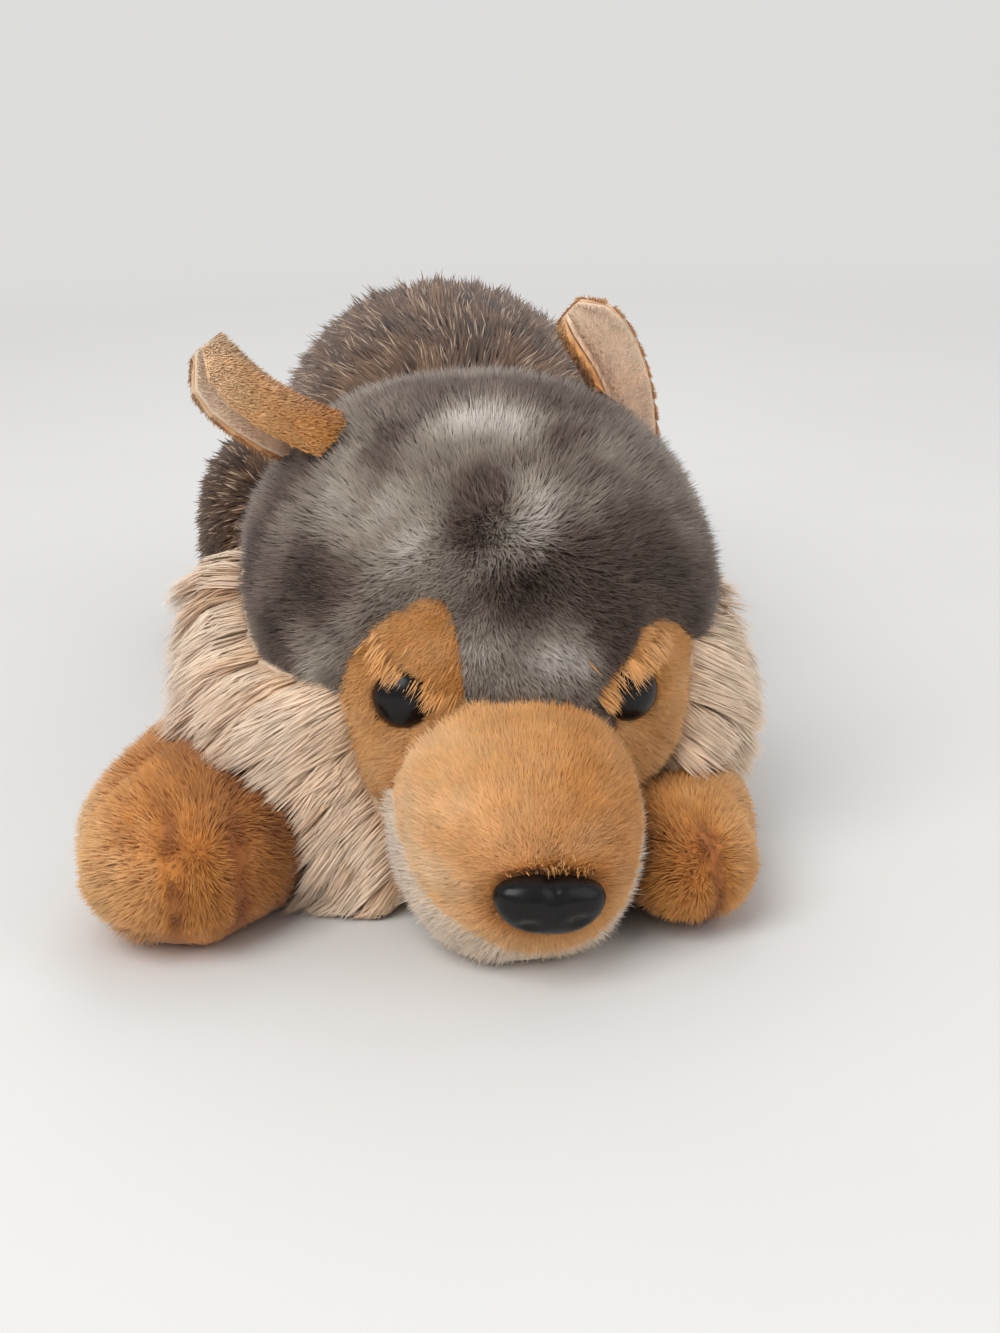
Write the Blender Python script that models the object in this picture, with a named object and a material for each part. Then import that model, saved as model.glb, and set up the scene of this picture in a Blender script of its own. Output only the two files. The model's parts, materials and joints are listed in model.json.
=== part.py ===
"""Plush wolf lying on its belly: sewn fur panels over soft stuffing, with plastic eyes and nose.

Metres, +Z up. The nose points to -Y, and +X is the animal's own left. Each rounded volume is a
Form: its surface is the knitted backing of the fur, piles stand out of it, and the stuffing lies
inside it. The whole toy hangs on one empty that puts the middle of its footprint at the origin.
"""

import math

import bmesh
import bpy
import numpy as np
from mathutils import Matrix, Vector
from mathutils.geometry import delaunay_2d_cdt

MM = 0.001
UP = Vector((0, 0, 1))

# Cloth and fillings
BACKING = 1.2 * MM
SEAM_GAP = 0.5 * MM
CLEARANCE = 0.35 * MM
CUT_CLEARANCE = 0.6 * MM
RUFF_CLEARANCE = 2.6 * MM
STUFFING_GAP = 1.0 * MM
BODY_STUFFING_GAP = 1.7 * MM
CLOTH_REST = 3.0 * MM
MESH_STEP = 10.0 * MM
WIDEST_STEP = 0.34
LATHE_STEPS = 16
SHARP_ANGLE = 50.0
ROOM_CORE = 0.15
ROOM_OVERLAP = 1.4 * MM
HEAD_SKIN = 1.0 * MM

# Lengths of the fur
CROWN_PILE = 7.0 * MM
FACE_PILE = 4.0 * MM
CHEEK_PILE = 5.0 * MM
RUFF_PILE = {"right": 25.0 * MM, "left": 19.0 * MM}
RUFF_BACK_PILE = 12.0 * MM
MUZZLE_PILE = 3.0 * MM
BACK_PILE = 10.0 * MM
BELLY_PILE = 4.0 * MM
LEG_PILE = 4.0 * MM
THIGH_PILE = 8.0 * MM
TAIL_PILE = 11.0 * MM
SEAM_PINCH = 0.6

# Head
HEAD_WIDTH = 105.0 * MM
HEAD_FRONT = 52.0 * MM
HEAD_BACK = 45.0 * MM
HEAD_TOP = 56.0 * MM
HEAD_PLACE = Vector((-2.5, -102.0, 58.0)) * MM
HEAD_TURN = 3.0

# Muzzle
MUZZLE_WIDTH = 52.4 * MM
MUZZLE_FRONT = 34.5 * MM
MUZZLE_BACK = 30.0 * MM
MUZZLE_TOP = 25.0 * MM
MUZZLE_OFFSET = Vector((-0.3, -53.0, -30.5)) * MM
MUZZLE_TURN = 2.0
MUZZLE_DROOP = 10.0

# Nose and eyes
NOSE_WIDTH = 24.5 * MM
NOSE_HEIGHT = 13.5 * MM
NOSE_DEPTH = 6.5 * MM
NOSE_ROOT = 2.2 * MM
NOSE_POWER = 2.5
NOSE_FLARE = 0.16
NOSE_DIRECTION = (90.5, 0.0)
NOSE_ROLL = -8.0
NOSE_SEAT = 1.4 * MM
EYE_RADIUS = 6.8 * MM
EYE_HEIGHT = 5.2 * MM
EYE_RIM = 1.0 * MM
EYE_CHAMFER = 0.4 * MM
EYE_SEAT = 0.6 * MM
EYE_ROUNDS = 5
SHANK_RADIUS = 1.9 * MM
SHANK_LENGTH = 9.5 * MM
SHANK_PLAY = 0.15 * MM
WASHER_RADIUS = 7.4 * MM
WASHER_THICKNESS = 1.6 * MM

# Body
BODY_WIDTH = 88.0 * MM
BODY_FRONT = 138.0 * MM
BODY_REAR = 112.0 * MM
BODY_TOP = 61.0 * MM
BODY_PLACE = Vector((0.0, 58.0, 50.0)) * MM
BODY_SWAY = 15.0 * MM
SWAY_START = -70.0 * MM
SWAY_END = 85.0 * MM

# Front legs, each lying forwards from the shoulder
ARMS = {
    "right": dict(place=(-67.5, -106.0), length=118.0, width=48.0, height=34.0, turn=-17.0, taper=0.10),
    "left": dict(place=(42.5, -116.0), length=118.0, width=30.0, height=24.0, turn=-7.0, taper=0.12),
}
TOE_CREASE = 2.4 * MM
TOE_CREASE_WIDTH = 0.14
TOE_ROUNDS = (-24.0, 20.0)
TOE_TILTS = (48.0, 100.0)
TOE_FLANK = 9.0

# Hind legs, folded beside the rump
THIGH_REACH = 56.0 * MM
THIGH_Y = 118.0 * MM
THIGH_WIDTH = 34.0 * MM
THIGH_LENGTH = 74.0 * MM
THIGH_HEIGHT = 58.0 * MM
HIND_FOOT_REACH = 58.0 * MM
HIND_FOOT_Y = 80.0 * MM
HIND_FOOT_LENGTH = 74.0 * MM
HIND_FOOT_WIDTH = 30.0 * MM
HIND_FOOT_HEIGHT = 22.0 * MM
FOOT_STOP_SHARE = 0.32

# Tail
TAIL_PLACE = Vector((21.0, 203.0)) * MM
TAIL_LENGTH = 92.0 * MM
TAIL_WIDTH = 26.0 * MM
TAIL_HEIGHT = 24.0 * MM
TAIL_TURN = 12.0

# Ears
EAR_THICKNESS = 2.8 * MM
EAR_LINING = 1.4 * MM
EAR_GAP = 0.4 * MM
EARS = {
    "right": dict(root=(-29.0, -110.0, 108.0), mid=(-52.0, -110.0, 114.5), tip=(-64.0, -108.0, 131.5),
                  width=13.0, cup=215.0, facing=(-0.42, -0.38, -0.82), tip_share=0.70),
    "left": dict(root=(36.5, -95.0, 105.0), mid=(36.5, -92.0, 120.0), tip=(25.0, -91.0, 133.0),
                 width=15.0, cup=125.0, facing=(0.62, -0.72, 0.05), tip_share=0.60),
}
EAR_ROWS = 9
EAR_COLUMNS = 9
EAR_SEWN_SHARE = 0.12
EAR_TIP_NARROWING = 0.93

# Seams of the head, as (degrees from straight up, degrees round from the nose, + to the animal's left)
NECK_RADIUS = 38.0
NECK_TILT = 97.0
UNDER_MUZZLE = (117.0, 4.0)
RIGHT_BROW = ((104.0, -13.0), (88.9, -14.2), (80.8, -14.9), (73.1, -15.8), (68.2, -18.5), (67.3, -23.0),
              (69.8, -28.5), (74.4, -34.6), (81.8, -40.4), (90.0, -43.5))
LEFT_BROW = ((104.0, 23.5), (93.3, 24.5), (85.5, 26.8), (79.5, 31.0), (78.4, 36.5), (81.0, 43.0),
             (86.5, 49.0))
RIGHT_CROWN = ((90.0, -43.5), (89.0, -55.0), (88.0, -71.0), (83.5, -82.0), (76.0, -92.0), (72.0, -108.0),
               (72.0, -126.0), (76.5, -142.0))
LEFT_CROWN = ((86.5, 49.0), (88.0, 58.0), (87.5, 71.0), (85.0, 87.0), (80.0, 105.0), (77.0, 124.0),
              (77.5, 142.0))
RIGHT_FACE = ((90.0, -43.5), (100.0, -41.8), (112.0, -39.8), (124.0, -37.0), (136.0, -27.0))
LEFT_FACE = ((86.5, 49.0), (97.0, 48.0), (110.0, 46.0), (124.0, 41.0), (136.0, 30.0))
UNDER_CHIN = ((179.9, 0.0), (150.0, 1.0), (136.0, 2.0))
EYES = {"right": (91.5, -28.9), "left": (95.0, 28.0)}
LEG_SEAM = 112.0
THIGH_SEAM = 128.0
TAIL_SEAM = 100.0
BODY_SEAM = 104.0

# The lip line, which parts the muzzle's tan top from its cream chin
LIP_LINE = ((72.0, -90.0), (83.0, -76.0), (91.5, -61.0), (98.0, -48.0), (102.5, -36.0), (107.0, -23.0),
            (113.5, -9.0), (115.5, 6.0), (114.0, 22.0), (104.0, 34.0), (90.0, 44.0), (79.0, 57.0),
            (72.0, 80.0), (70.0, 105.0), (72.0, 135.0), (74.0, 180.0), (73.0, 225.0), (71.0, 250.0),
            (72.0, 270.0))

COLOURS = {
    "crown_fur": (0.085, 0.066, 0.058),
    "tan_fur": (0.45, 0.22, 0.095),
    "cream_fur": (0.61, 0.44, 0.32),
    "back_fur": (0.17, 0.11, 0.082),
    "ear_suede": (0.35, 0.17, 0.10),
    "black_plastic": (0.012, 0.010, 0.009),
    "washer_plastic": (0.75, 0.73, 0.68),
    "stuffing": (0.82, 0.80, 0.75),
}
GLOSSY = {"black_plastic": 0.18, "washer_plastic": 0.45}


def clear_scene():
    for item in list(bpy.data.objects):
        bpy.data.objects.remove(item, do_unlink=True)


def material(name):
    found = bpy.data.materials.get(name)
    if found:
        return found
    made = bpy.data.materials.new(name)
    made.use_nodes = True
    shader = made.node_tree.nodes["Principled BSDF"]
    shader.inputs["Base Color"].default_value = (*COLOURS[name], 1.0)
    shader.inputs["Roughness"].default_value = GLOSSY.get(name, 0.95)
    shader.inputs["Metallic"].default_value = 0.0
    return made


def turned(*steps):
    """A rotation from (degrees, axis) steps, the first one outermost."""
    result = Matrix.Identity(3)
    for degrees, axis in steps:
        result = result @ Matrix.Rotation(math.radians(degrees), 3, axis)
    return result


def smooth(value):
    value = np.clip(value, 0.0, 1.0)
    return value * value * (3 - 2 * value)


class Form:
    """A rounded volume, a superellipsoid with its own half axis each way: -Y is its front, +Z its top."""

    def __init__(self, place, width, front, back, top, bottom, power=2.4, turn=None, taper=0.0, sway=None):
        self.place = np.array(place)
        self.half = (width / 2, front, back, top, bottom)
        self.power = power
        self.turn = np.array(turn if turn is not None else Matrix.Identity(3))
        self.taper = taper
        self.sway = sway

    def axes(self, unit):
        side, front, back, top, bottom = self.half
        return np.stack([
            np.full(len(unit), side),
            np.where(unit[:, 1] < 0, front, back),
            np.where(unit[:, 2] > 0, top, bottom),
        ], axis=1)

    def unit(self, pairs):
        """Unit vectors of the form for (degrees from the top, degrees round from the front)."""
        tilt, round_ = np.radians(np.array(pairs, float)).T
        aim = np.stack([np.sin(tilt) * np.sin(round_), -np.sin(tilt) * np.cos(round_), np.cos(tilt)], axis=1)
        aim = aim / self.axes(aim)
        return aim / np.linalg.norm(aim, axis=1, keepdims=True)

    def surface(self, unit, offset):
        """Points at this distance outside the cloth. The floor presses the form flat."""
        unit = np.asarray(unit, float)
        offset = np.broadcast_to(np.asarray(offset, float), len(unit))
        axes = self.axes(unit)
        reach = (np.abs(unit) ** self.power).sum(axis=1) ** (-1 / self.power)
        points = axes * unit * reach[:, None]
        normal = np.sign(unit) * np.abs(unit) ** (self.power - 1) / axes
        normal /= np.linalg.norm(normal, axis=1, keepdims=True)
        points = points + normal * offset[:, None]
        narrowing = 1 - self.taper * points[:, 1] / self.half[1]
        points[:, 0] *= narrowing
        points[:, 2] *= narrowing
        world = points @ self.turn.T + self.place
        if self.sway:
            world[:, 0] += self.sway(world[:, 1])
        lowest = np.where(offset > 0, 0.0, CLOTH_REST - offset)
        world[:, 2] = np.maximum(world[:, 2], lowest)
        return world

    def frame(self, pair, roll=0.0):
        """Place and rotation on the cloth at (tilt, round): local +Z points out of the form."""
        unit = self.unit([pair])
        inner = self.surface(unit, -1.0 * MM)[0]
        outer = self.surface(unit, 0.5 * MM)[0]
        out = Vector(outer - inner).normalized()
        side = Vector((0, 0, 1)).cross(out).normalized()
        rotation = Matrix((side, out.cross(side), out)).transposed()
        rotation = rotation @ Matrix.Rotation(math.radians(roll), 3, "Z")
        return Matrix.Translation(Vector(self.surface(unit, 0.0)[0])) @ rotation.to_4x4()

    def seam_gap(self):
        return SEAM_GAP / min(self.half)

    def step(self):
        """The angle between neighbouring points of this form's meshes."""
        return min(MESH_STEP / min(self.half[0], self.half[3]), WIDEST_STEP)


def curve_on(form, pairs, step):
    """A smooth seam through the given directions, as unit vectors about a step apart."""
    knots = form.unit(pairs)
    if len(knots) == 2:
        knots = np.stack([knots[0], (knots[0] + knots[1]) / 2, knots[1]])
    ends = np.vstack([2 * knots[0] - knots[1], knots, 2 * knots[-1] - knots[-2]])
    found = []
    for a, b, c, d in zip(ends, ends[1:], ends[2:], ends[3:]):
        count = max(1, round(float(np.linalg.norm(c - b)) / step))
        for t in np.arange(count) / count:
            found.append(0.5 * (2 * b + (c - a) * t + (2 * a - 5 * b + 4 * c - d) * t**2
                                + (3 * b - 3 * c + d - a) * t**3))
    found.append(knots[-1])
    found = np.array(found)
    return found / np.linalg.norm(found, axis=1, keepdims=True)


def girdle(form, tilt, pole=UP):
    """The circle this many degrees from the pole, as unit vectors: a seam, or where one panel ends."""
    pole = Vector(pole).normalized()
    first = pole.orthogonal().normalized()
    second = pole.cross(first)
    radius = math.radians(tilt)
    count = max(6, round(math.tau * math.sin(radius) / form.step()))
    found = []
    for k in range(count):
        angle = math.tau * k / count
        found.append(pole * math.cos(radius)
                     + (first * math.cos(angle) + second * math.sin(angle)) * math.sin(radius))
    return np.array(found)


def joined(*runs):
    """One closed outline from runs that follow each other, with shared ends kept once."""
    return np.vstack([run[:-1] for run in runs])


class Chart:
    """A flat map of unit vectors round a middle one, true to distance from it."""

    def __init__(self, middle):
        self.middle = Vector(middle).normalized()
        self.first = self.middle.orthogonal().normalized()
        self.second = self.middle.cross(self.first)

    def flat(self, unit):
        along = np.clip(unit @ np.array(self.middle), -1, 1)
        x = unit @ np.array(self.first)
        y = unit @ np.array(self.second)
        size = np.maximum(np.hypot(x, y), 1e-9)
        angle = np.arccos(along)
        return np.stack([x / size * angle, y / size * angle], axis=1)

    def round(self, flat):
        angle = np.hypot(flat[:, 0], flat[:, 1])
        scale = np.sin(angle) / np.maximum(angle, 1e-9)
        return (np.cos(angle)[:, None] * np.array(self.middle)
                + (flat[:, :1] * scale[:, None]) * np.array(self.first)
                + (flat[:, 1:] * scale[:, None]) * np.array(self.second))


def inside(polygon, points):
    x, y = points.T
    found = np.zeros(len(points), bool)
    for (ax, ay), (bx, by) in zip(polygon, np.roll(polygon, -1, axis=0)):
        crosses = (ay > y) != (by > y)
        if by != ay:
            found ^= crosses & (x < (bx - ax) * (y - ay) / (by - ay) + ax)
    return found


def distance_to(polygon, points):
    best = np.full(len(points), 1e9)
    for a, b in zip(polygon, np.roll(polygon, -1, axis=0)):
        run = b - a
        share = np.clip(((points - a) @ run) / max(run @ run, 1e-12), 0, 1)
        best = np.minimum(best, np.linalg.norm(points - a - share[:, None] * run, axis=1))
    return best


def moved_in(polygon, amount):
    """The outline moved towards its inside, or outwards for a negative amount."""
    before = polygon - np.roll(polygon, 1, axis=0)
    after = np.roll(polygon, -1, axis=0) - polygon
    along = before / np.linalg.norm(before, axis=1, keepdims=True)
    along += after / np.linalg.norm(after, axis=1, keepdims=True)
    along /= np.maximum(np.linalg.norm(along, axis=1, keepdims=True), 1e-9)
    area = np.sum(polygon[:, 0] * np.roll(polygon[:, 1], -1) - np.roll(polygon[:, 0], -1) * polygon[:, 1])
    turn = np.array([[0, 1], [-1, 0]]) if area > 0 else np.array([[0, -1], [1, 0]])
    return polygon + (along @ turn) * amount


def border_of(faces):
    """The edges that only one face has, each in its face's own direction."""
    ways = {way: None for face in faces for way in zip(face, face[1:] + face[:1])}
    return [(a, b) for a, b in ways if (b, a) not in ways]


def patch(chart, edge, step, lines=(), skirt=None):
    """Unit vectors and triangles of the piece of a form inside an outline, given flat in its chart.

    A skirt is a wider outline with as many points: faces that reach out to it are added. The last
    result marks the points on the outline and on its skirt.
    """
    low, high = edge.min(axis=0), edge.max(axis=0)
    rows = np.arange(low[1] + step / 2, high[1], step * 0.87)
    grid = []
    for k, y in enumerate(rows):
        shift = step / 2 if k % 2 else 0.0
        grid += [(x, y) for x in np.arange(low[0] + shift, high[0], step)]
    grid = np.array(grid)
    grid = grid[inside(edge, grid)]
    grid = grid[distance_to(edge, grid) > 0.55 * step]
    extra = [chart.flat(line) for line in lines]
    for line in extra:
        near = np.linalg.norm(grid[:, None] - line[None], axis=2).min(axis=1)
        grid = grid[near > 0.5 * step]
    points = np.vstack([edge, grid, *extra])
    loop = [list(range(len(edge)))]
    flat, _, faces, origins, _, _ = delaunay_2d_cdt([Vector(p) for p in points], [], loop, 1, 1e-7)
    faces = [list(face) for face in faces]
    flat = np.array([tuple(p) for p in flat])
    border = border_of(faces)
    rim = np.zeros(len(flat), bool)
    rim[[a for a, _ in border]] = True
    if skirt is not None:
        outer = {index: len(flat) + origin[0] for index, origin in enumerate(origins) if rim[index]}
        faces += [[b, a, outer[a], outer[b]] for a, b in border]
        flat = np.vstack([flat, skirt])
        rim = np.append(rim, np.ones(len(skirt), bool))
    return chart.round(flat), faces, rim


def mesh_object(name, points, faces, slot, smooth_shading=True):
    mesh = bpy.data.meshes.new(name)
    mesh.from_pydata([tuple(p) for p in points], [], [tuple(f) for f in faces])
    mesh.validate()
    work = bmesh.new()
    work.from_mesh(mesh)
    bmesh.ops.recalc_face_normals(work, faces=work.faces)
    if work.calc_volume(signed=True) < 0:
        bmesh.ops.reverse_faces(work, faces=work.faces)
    work.to_mesh(mesh)
    work.free()
    if smooth_shading:
        mesh.shade_smooth()
        mesh.set_sharp_from_angle(angle=math.radians(SHARP_ANGLE))
    made = bpy.data.objects.new(name, mesh)
    bpy.context.scene.collection.objects.link(made)
    made.parent = TOY
    if slot:
        mesh.materials.append(material(slot))
    return made


def helper(made):
    made.hide_render = True
    made.display_type = "WIRE"
    return made


def sheet(name, form, outline, pile, slot, middle=None, core=None, grow=0.0, lines=(), crease=None):
    """A fur panel: its backing's inner face, its pile's outer face and a wall round its outline.

    With a core, it reaches in to that share of the way from the form's middle instead.
    """
    step = form.step()
    chart = Chart(outline.sum(axis=0) if middle is None else middle)
    seam = chart.flat(outline)
    edge = moved_in(seam, form.seam_gap() / 2)
    skirt = moved_in(seam, -ROOM_OVERLAP / min(form.half)) if grow else None
    unit, faces, rim = patch(chart, edge, step, lines, skirt)
    height = pile(unit)
    if crease is not None:
        height = height - crease(unit)
    height = np.where(rim, height * SEAM_PINCH, height)
    outer = form.surface(unit, height + grow)
    inner = form.surface(unit, -BACKING)
    if core is not None:
        inner = form.place + (form.surface(unit, 0.0) - form.place) * core
    count = len(unit)
    shell = [list(face) for face in faces]
    shell += [[index + count for index in reversed(face)] for face in faces]
    shell += [[b, a, a + count, b + count] for a, b in border_of(faces)]
    return mesh_object(name, np.vstack([outer, inner]), shell, slot)


def room(name, form, outline, pile, middle=None):
    """The space that a panel and what it covers take, for cutting its neighbours."""
    return helper(sheet(name, form, outline, pile, None, middle, core=ROOM_CORE, grow=CLEARANCE))


def ball(name, form, offset, slot=None, subdivisions=3):
    """The whole form as one closed solid, at this distance from its cloth."""
    work = bmesh.new()
    bmesh.ops.create_icosphere(work, subdivisions=subdivisions, radius=1.0)
    unit = np.array([v.co[:] for v in work.verts])
    faces = [[v.index for v in face.verts] for face in work.faces]
    work.free()
    unit /= np.linalg.norm(unit, axis=1, keepdims=True)
    height = offset(unit) if callable(offset) else offset
    return mesh_object(name, form.surface(unit, height), faces, slot)


def stuffed(name, form, subdivisions=3, gap=STUFFING_GAP):
    return ball(name, form, -BACKING - gap, "stuffing", subdivisions)


def space(name, form, offset, subdivisions=3):
    return helper(ball(name, form, offset, None, subdivisions))


def turned_solid(name, profile, frame, slot, steps=LATHE_STEPS):
    """A solid of revolution about the frame's Z. Its profile of (radius, height) pairs ends on the axis,
    or else is a closed ring."""
    points, faces = [], []
    rings = []
    for radius, height in profile:
        if radius == 0:
            rings.append([len(points)])
            points.append(frame @ Vector((0, 0, height)))
            continue
        rings.append(list(range(len(points), len(points) + steps)))
        for k in range(steps):
            angle = math.tau * k / steps
            points.append(frame @ Vector((radius * math.cos(angle), radius * math.sin(angle), height)))
    closed = profile[0][0] != 0
    pairs = list(zip(rings, rings[1:] + rings[:1])) if closed else list(zip(rings, rings[1:]))
    for low, high in pairs:
        for k in range(steps):
            n = (k + 1) % steps
            if len(low) == 1:
                faces.append([low[0], high[n], high[k]])
            elif len(high) == 1:
                faces.append([low[k], low[n], high[0]])
            else:
                faces.append([low[k], low[n], high[n], high[k]])
    return mesh_object(name, points, faces, slot)


def cut(target, *tools):
    for tool in tools:
        step = target.modifiers.new("cut_" + tool.name, "BOOLEAN")
        step.operation = "DIFFERENCE"
        step.solver = "EXACT"
        step.object = tool


def join(target, *tools):
    for tool in tools:
        step = target.modifiers.new("with_" + tool.name, "BOOLEAN")
        step.operation = "UNION"
        step.solver = "EXACT"
        step.object = tool


def even(length):
    return lambda unit: np.full(len(unit), length)


def crown_pile(unit):
    """Shorter towards the root of the muzzle and into the neck seam."""
    to_front = np.arccos(np.clip(unit @ HEAD.unit([(98.0, 5.0)])[0], -1, 1))
    to_neck = np.arccos(np.clip(unit @ HEAD.unit([(NECK_TILT, 180.0)])[0], -1, 1)) - math.radians(NECK_RADIUS)
    near = FACE_PILE + (CROWN_PILE - FACE_PILE) * smooth((to_front - 0.25) / 0.5)
    return near * (0.35 + 0.65 * smooth(to_neck / 0.35))


def cheek_pile(side):
    """Short beside the muzzle, then the long ruff, and less of it towards the neck."""
    ruff = RUFF_PILE[side]

    def height(unit):
        true = unit * HEAD.axes(unit)
        round_ = np.degrees(np.abs(np.arctan2(true[:, 0], -true[:, 1])))
        tilt = np.degrees(np.arccos(true[:, 2] / np.linalg.norm(true, axis=1)))
        spread = 46.0 - 24.0 * smooth((tilt - 95.0) / 40.0)
        rise = smooth((round_ - 30.0) / spread)
        back = smooth((round_ - 105.0) / 40.0)
        longest = ruff + (RUFF_BACK_PILE - ruff) * back
        return CHEEK_PILE + (longest - CHEEK_PILE) * rise

    return height


def head_outlines():
    """The outlines of the five head panels, which share their seams."""
    step = HEAD.step()
    brow = {"right": curve_on(HEAD, RIGHT_BROW, step), "left": curve_on(HEAD, LEFT_BROW, step)}
    crown = {"right": curve_on(HEAD, RIGHT_CROWN, step), "left": curve_on(HEAD, LEFT_CROWN, step)}
    face = {"right": curve_on(HEAD, RIGHT_FACE, step), "left": curve_on(HEAD, LEFT_FACE, step)}
    hub = HEAD.unit([UNDER_MUZZLE])
    neck = neck_arcs(crown, step)
    bottom = neck["bottom"]
    under = curve_on(HEAD, UNDER_CHIN, step)
    back = straight(bottom, under[0], step)
    keel = np.vstack([back[:-1], under])
    outlines = {
        "crown_panel": joined(brow["right"], crown["right"], neck["top"], crown["left"][::-1],
                              brow["left"][::-1], straight(brow["left"][0], hub[0], step),
                              straight(hub[0], brow["right"][0], step)),
    }
    for side in ("right", "left"):
        to_hub = straight(face[side][-1], hub[0], step)
        outlines["face_patch_" + side] = joined(brow[side], face[side], to_hub,
                                                straight(hub[0], brow[side][0], step))
        keel_start = straight(keel[-1], face[side][-1], step)
        outlines["cheek_" + side] = joined(crown[side], neck[side], keel, keel_start, face[side][::-1])
    return outlines


def straight(start, end, step):
    """Unit vectors along the shortest way between two."""
    count = max(1, round(float(np.linalg.norm(end - start)) / step))
    share = np.arange(count + 1)[:, None] / count
    found = start * (1 - share) + end * share
    return found / np.linalg.norm(found, axis=1, keepdims=True)


def neck_arcs(crown, step):
    """The neck opening: its top arc from the right crown seam to the left, and each side's arc below."""
    pole = HEAD.unit([(NECK_TILT, 180.0)])[0]
    radius = math.radians(NECK_RADIUS)
    up = np.array((0.0, 0.0, 1.0))
    up = up - pole * (up @ pole)
    up /= np.linalg.norm(up)
    side = np.cross(pole, up)

    def at(angle):
        return pole * math.cos(radius) + (up * math.cos(angle) + side * math.sin(angle)) * math.sin(radius)

    def angle_of(point):
        return math.atan2(point @ side, point @ up)

    def arc(start, end, first, last):
        count = max(2, round(abs(end - start) * math.sin(radius) / step))
        middle = [at(start + (end - start) * k / count) for k in range(1, count)]
        return np.array([first, *middle, last])

    right, left = crown["right"][-1], crown["left"][-1]
    bottom = at(math.pi)
    turn_right, turn_left = angle_of(right), angle_of(left)
    low_right = math.copysign(math.pi, turn_right)
    low_left = math.copysign(math.pi, turn_left)
    return {
        "bottom": bottom,
        "top": arc(turn_right, turn_left, right, left),
        "right": arc(turn_right, low_right, right, bottom),
        "left": arc(turn_left, low_left, left, bottom),
    }


def make_head():
    outlines = head_outlines()
    slots = {"crown_panel": ("crown_fur", crown_pile)}
    for side in ("right", "left"):
        slots["face_patch_" + side] = ("tan_fur", even(FACE_PILE))
        slots["cheek_" + side] = ("cream_fur", cheek_pile(side))
    panels, rooms = {}, {}
    for name, outline in outlines.items():
        slot, pile = slots[name]
        panels[name] = sheet(name, HEAD, outline, pile, slot)
        rooms[name] = room(name + "_room", HEAD, outline, pile)
    return panels, rooms


def make_muzzle():
    """A tan top panel and a cream chin panel that meet along the lip line."""
    seam = curve_on(MUZZLE, LIP_LINE, MUZZLE.step())[:-1]
    top = sheet("muzzle_top", MUZZLE, seam, even(MUZZLE_PILE), "tan_fur", middle=UP)
    chin = sheet("chin_panel", MUZZLE, seam, even(MUZZLE_PILE), "cream_fur", middle=-UP)
    return top, chin


def make_nose(frame):
    """A moulded nose, wider above than below, with its shank, and the well that it sits in."""
    work = bmesh.new()
    bmesh.ops.create_icosphere(work, subdivisions=3, radius=1.0)
    aim = np.array([v.co[:] for v in work.verts])
    faces = [[v.index for v in face.verts] for face in work.faces]
    work.free()
    reach = (np.abs(aim) ** NOSE_POWER).sum(axis=1) ** (-1 / NOSE_POWER)
    aim = aim * reach[:, None]

    def shape(extra):
        width = NOSE_WIDTH / 2 * (1 + NOSE_FLARE * aim[:, 1]) + extra
        depth = np.where(aim[:, 2] > 0, NOSE_DEPTH, NOSE_ROOT) + extra
        local = np.stack([aim[:, 0] * width, aim[:, 1] * (NOSE_HEIGHT / 2 + extra), aim[:, 2] * depth], axis=1)
        return [frame @ Vector(p) for p in local]

    nose = mesh_object("nose", shape(0.0), faces, "black_plastic")
    shank = helper(turned_solid("nose_shank", rod(SHANK_RADIUS, -SHANK_LENGTH, 0.0), frame, None))
    join(nose, shank)
    well = helper(mesh_object("nose_well", shape(CLEARANCE), faces, None))
    return nose, well


def rod(radius, low, high):
    return ((0, low), (radius, low), (radius, high), (0, high))


def washer_drop():
    """How deep a washer's face lies under the cloth, so that its rim clears the curved backing."""
    sag = WASHER_RADIUS**2 / (2 * min(MUZZLE.half))
    return BACKING + sag + 2 * CLEARANCE


def make_washer(name, frame):
    high = -washer_drop()
    low = high - WASHER_THICKNESS
    hole = SHANK_RADIUS + SHANK_PLAY
    profile = ((hole, low), (WASHER_RADIUS, low), (WASHER_RADIUS, high), (hole, high))
    return turned_solid(name, profile, frame, "washer_plastic")


def make_fixing_spaces(name, frame):
    """The hole for a shank through the cloth, and the pocket in the stuffing for washer and shank."""
    depth = SHANK_LENGTH + CUT_CLEARANCE
    high = EYE_RADIUS
    hole = helper(turned_solid(name + "_hole", rod(SHANK_RADIUS + CLEARANCE, -depth, high), frame, None))
    low = -washer_drop() - WASHER_THICKNESS - CUT_CLEARANCE
    pocket = turned_solid(name + "_pocket", rod(WASHER_RADIUS + CUT_CLEARANCE, low, high), frame, None)
    return hole, helper(pocket)


def make_eye(name, frame):
    """A domed safety eye on its shank, and the well through the pile in front of it."""
    profile = [(0, -SHANK_LENGTH), (SHANK_RADIUS, -SHANK_LENGTH), (SHANK_RADIUS, 0.0),
               (EYE_RADIUS - EYE_CHAMFER, 0.0), (EYE_RADIUS, EYE_CHAMFER), (EYE_RADIUS, EYE_RIM)]
    for k in range(1, EYE_ROUNDS):
        angle = math.pi / 2 * k / EYE_ROUNDS
        profile.append((EYE_RADIUS * math.cos(angle), EYE_RIM + (EYE_HEIGHT - EYE_RIM) * math.sin(angle)))
    profile.append((0, EYE_HEIGHT))
    seat = frame @ Matrix.Translation((0, 0, EYE_SEAT))
    turned_solid(name, profile, seat, "black_plastic")
    front = EYE_HEIGHT + RUFF_PILE["right"]
    return helper(turned_solid(name + "_well", rod(EYE_RADIUS + CLEARANCE, -CLEARANCE, front), seat, None))


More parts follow.
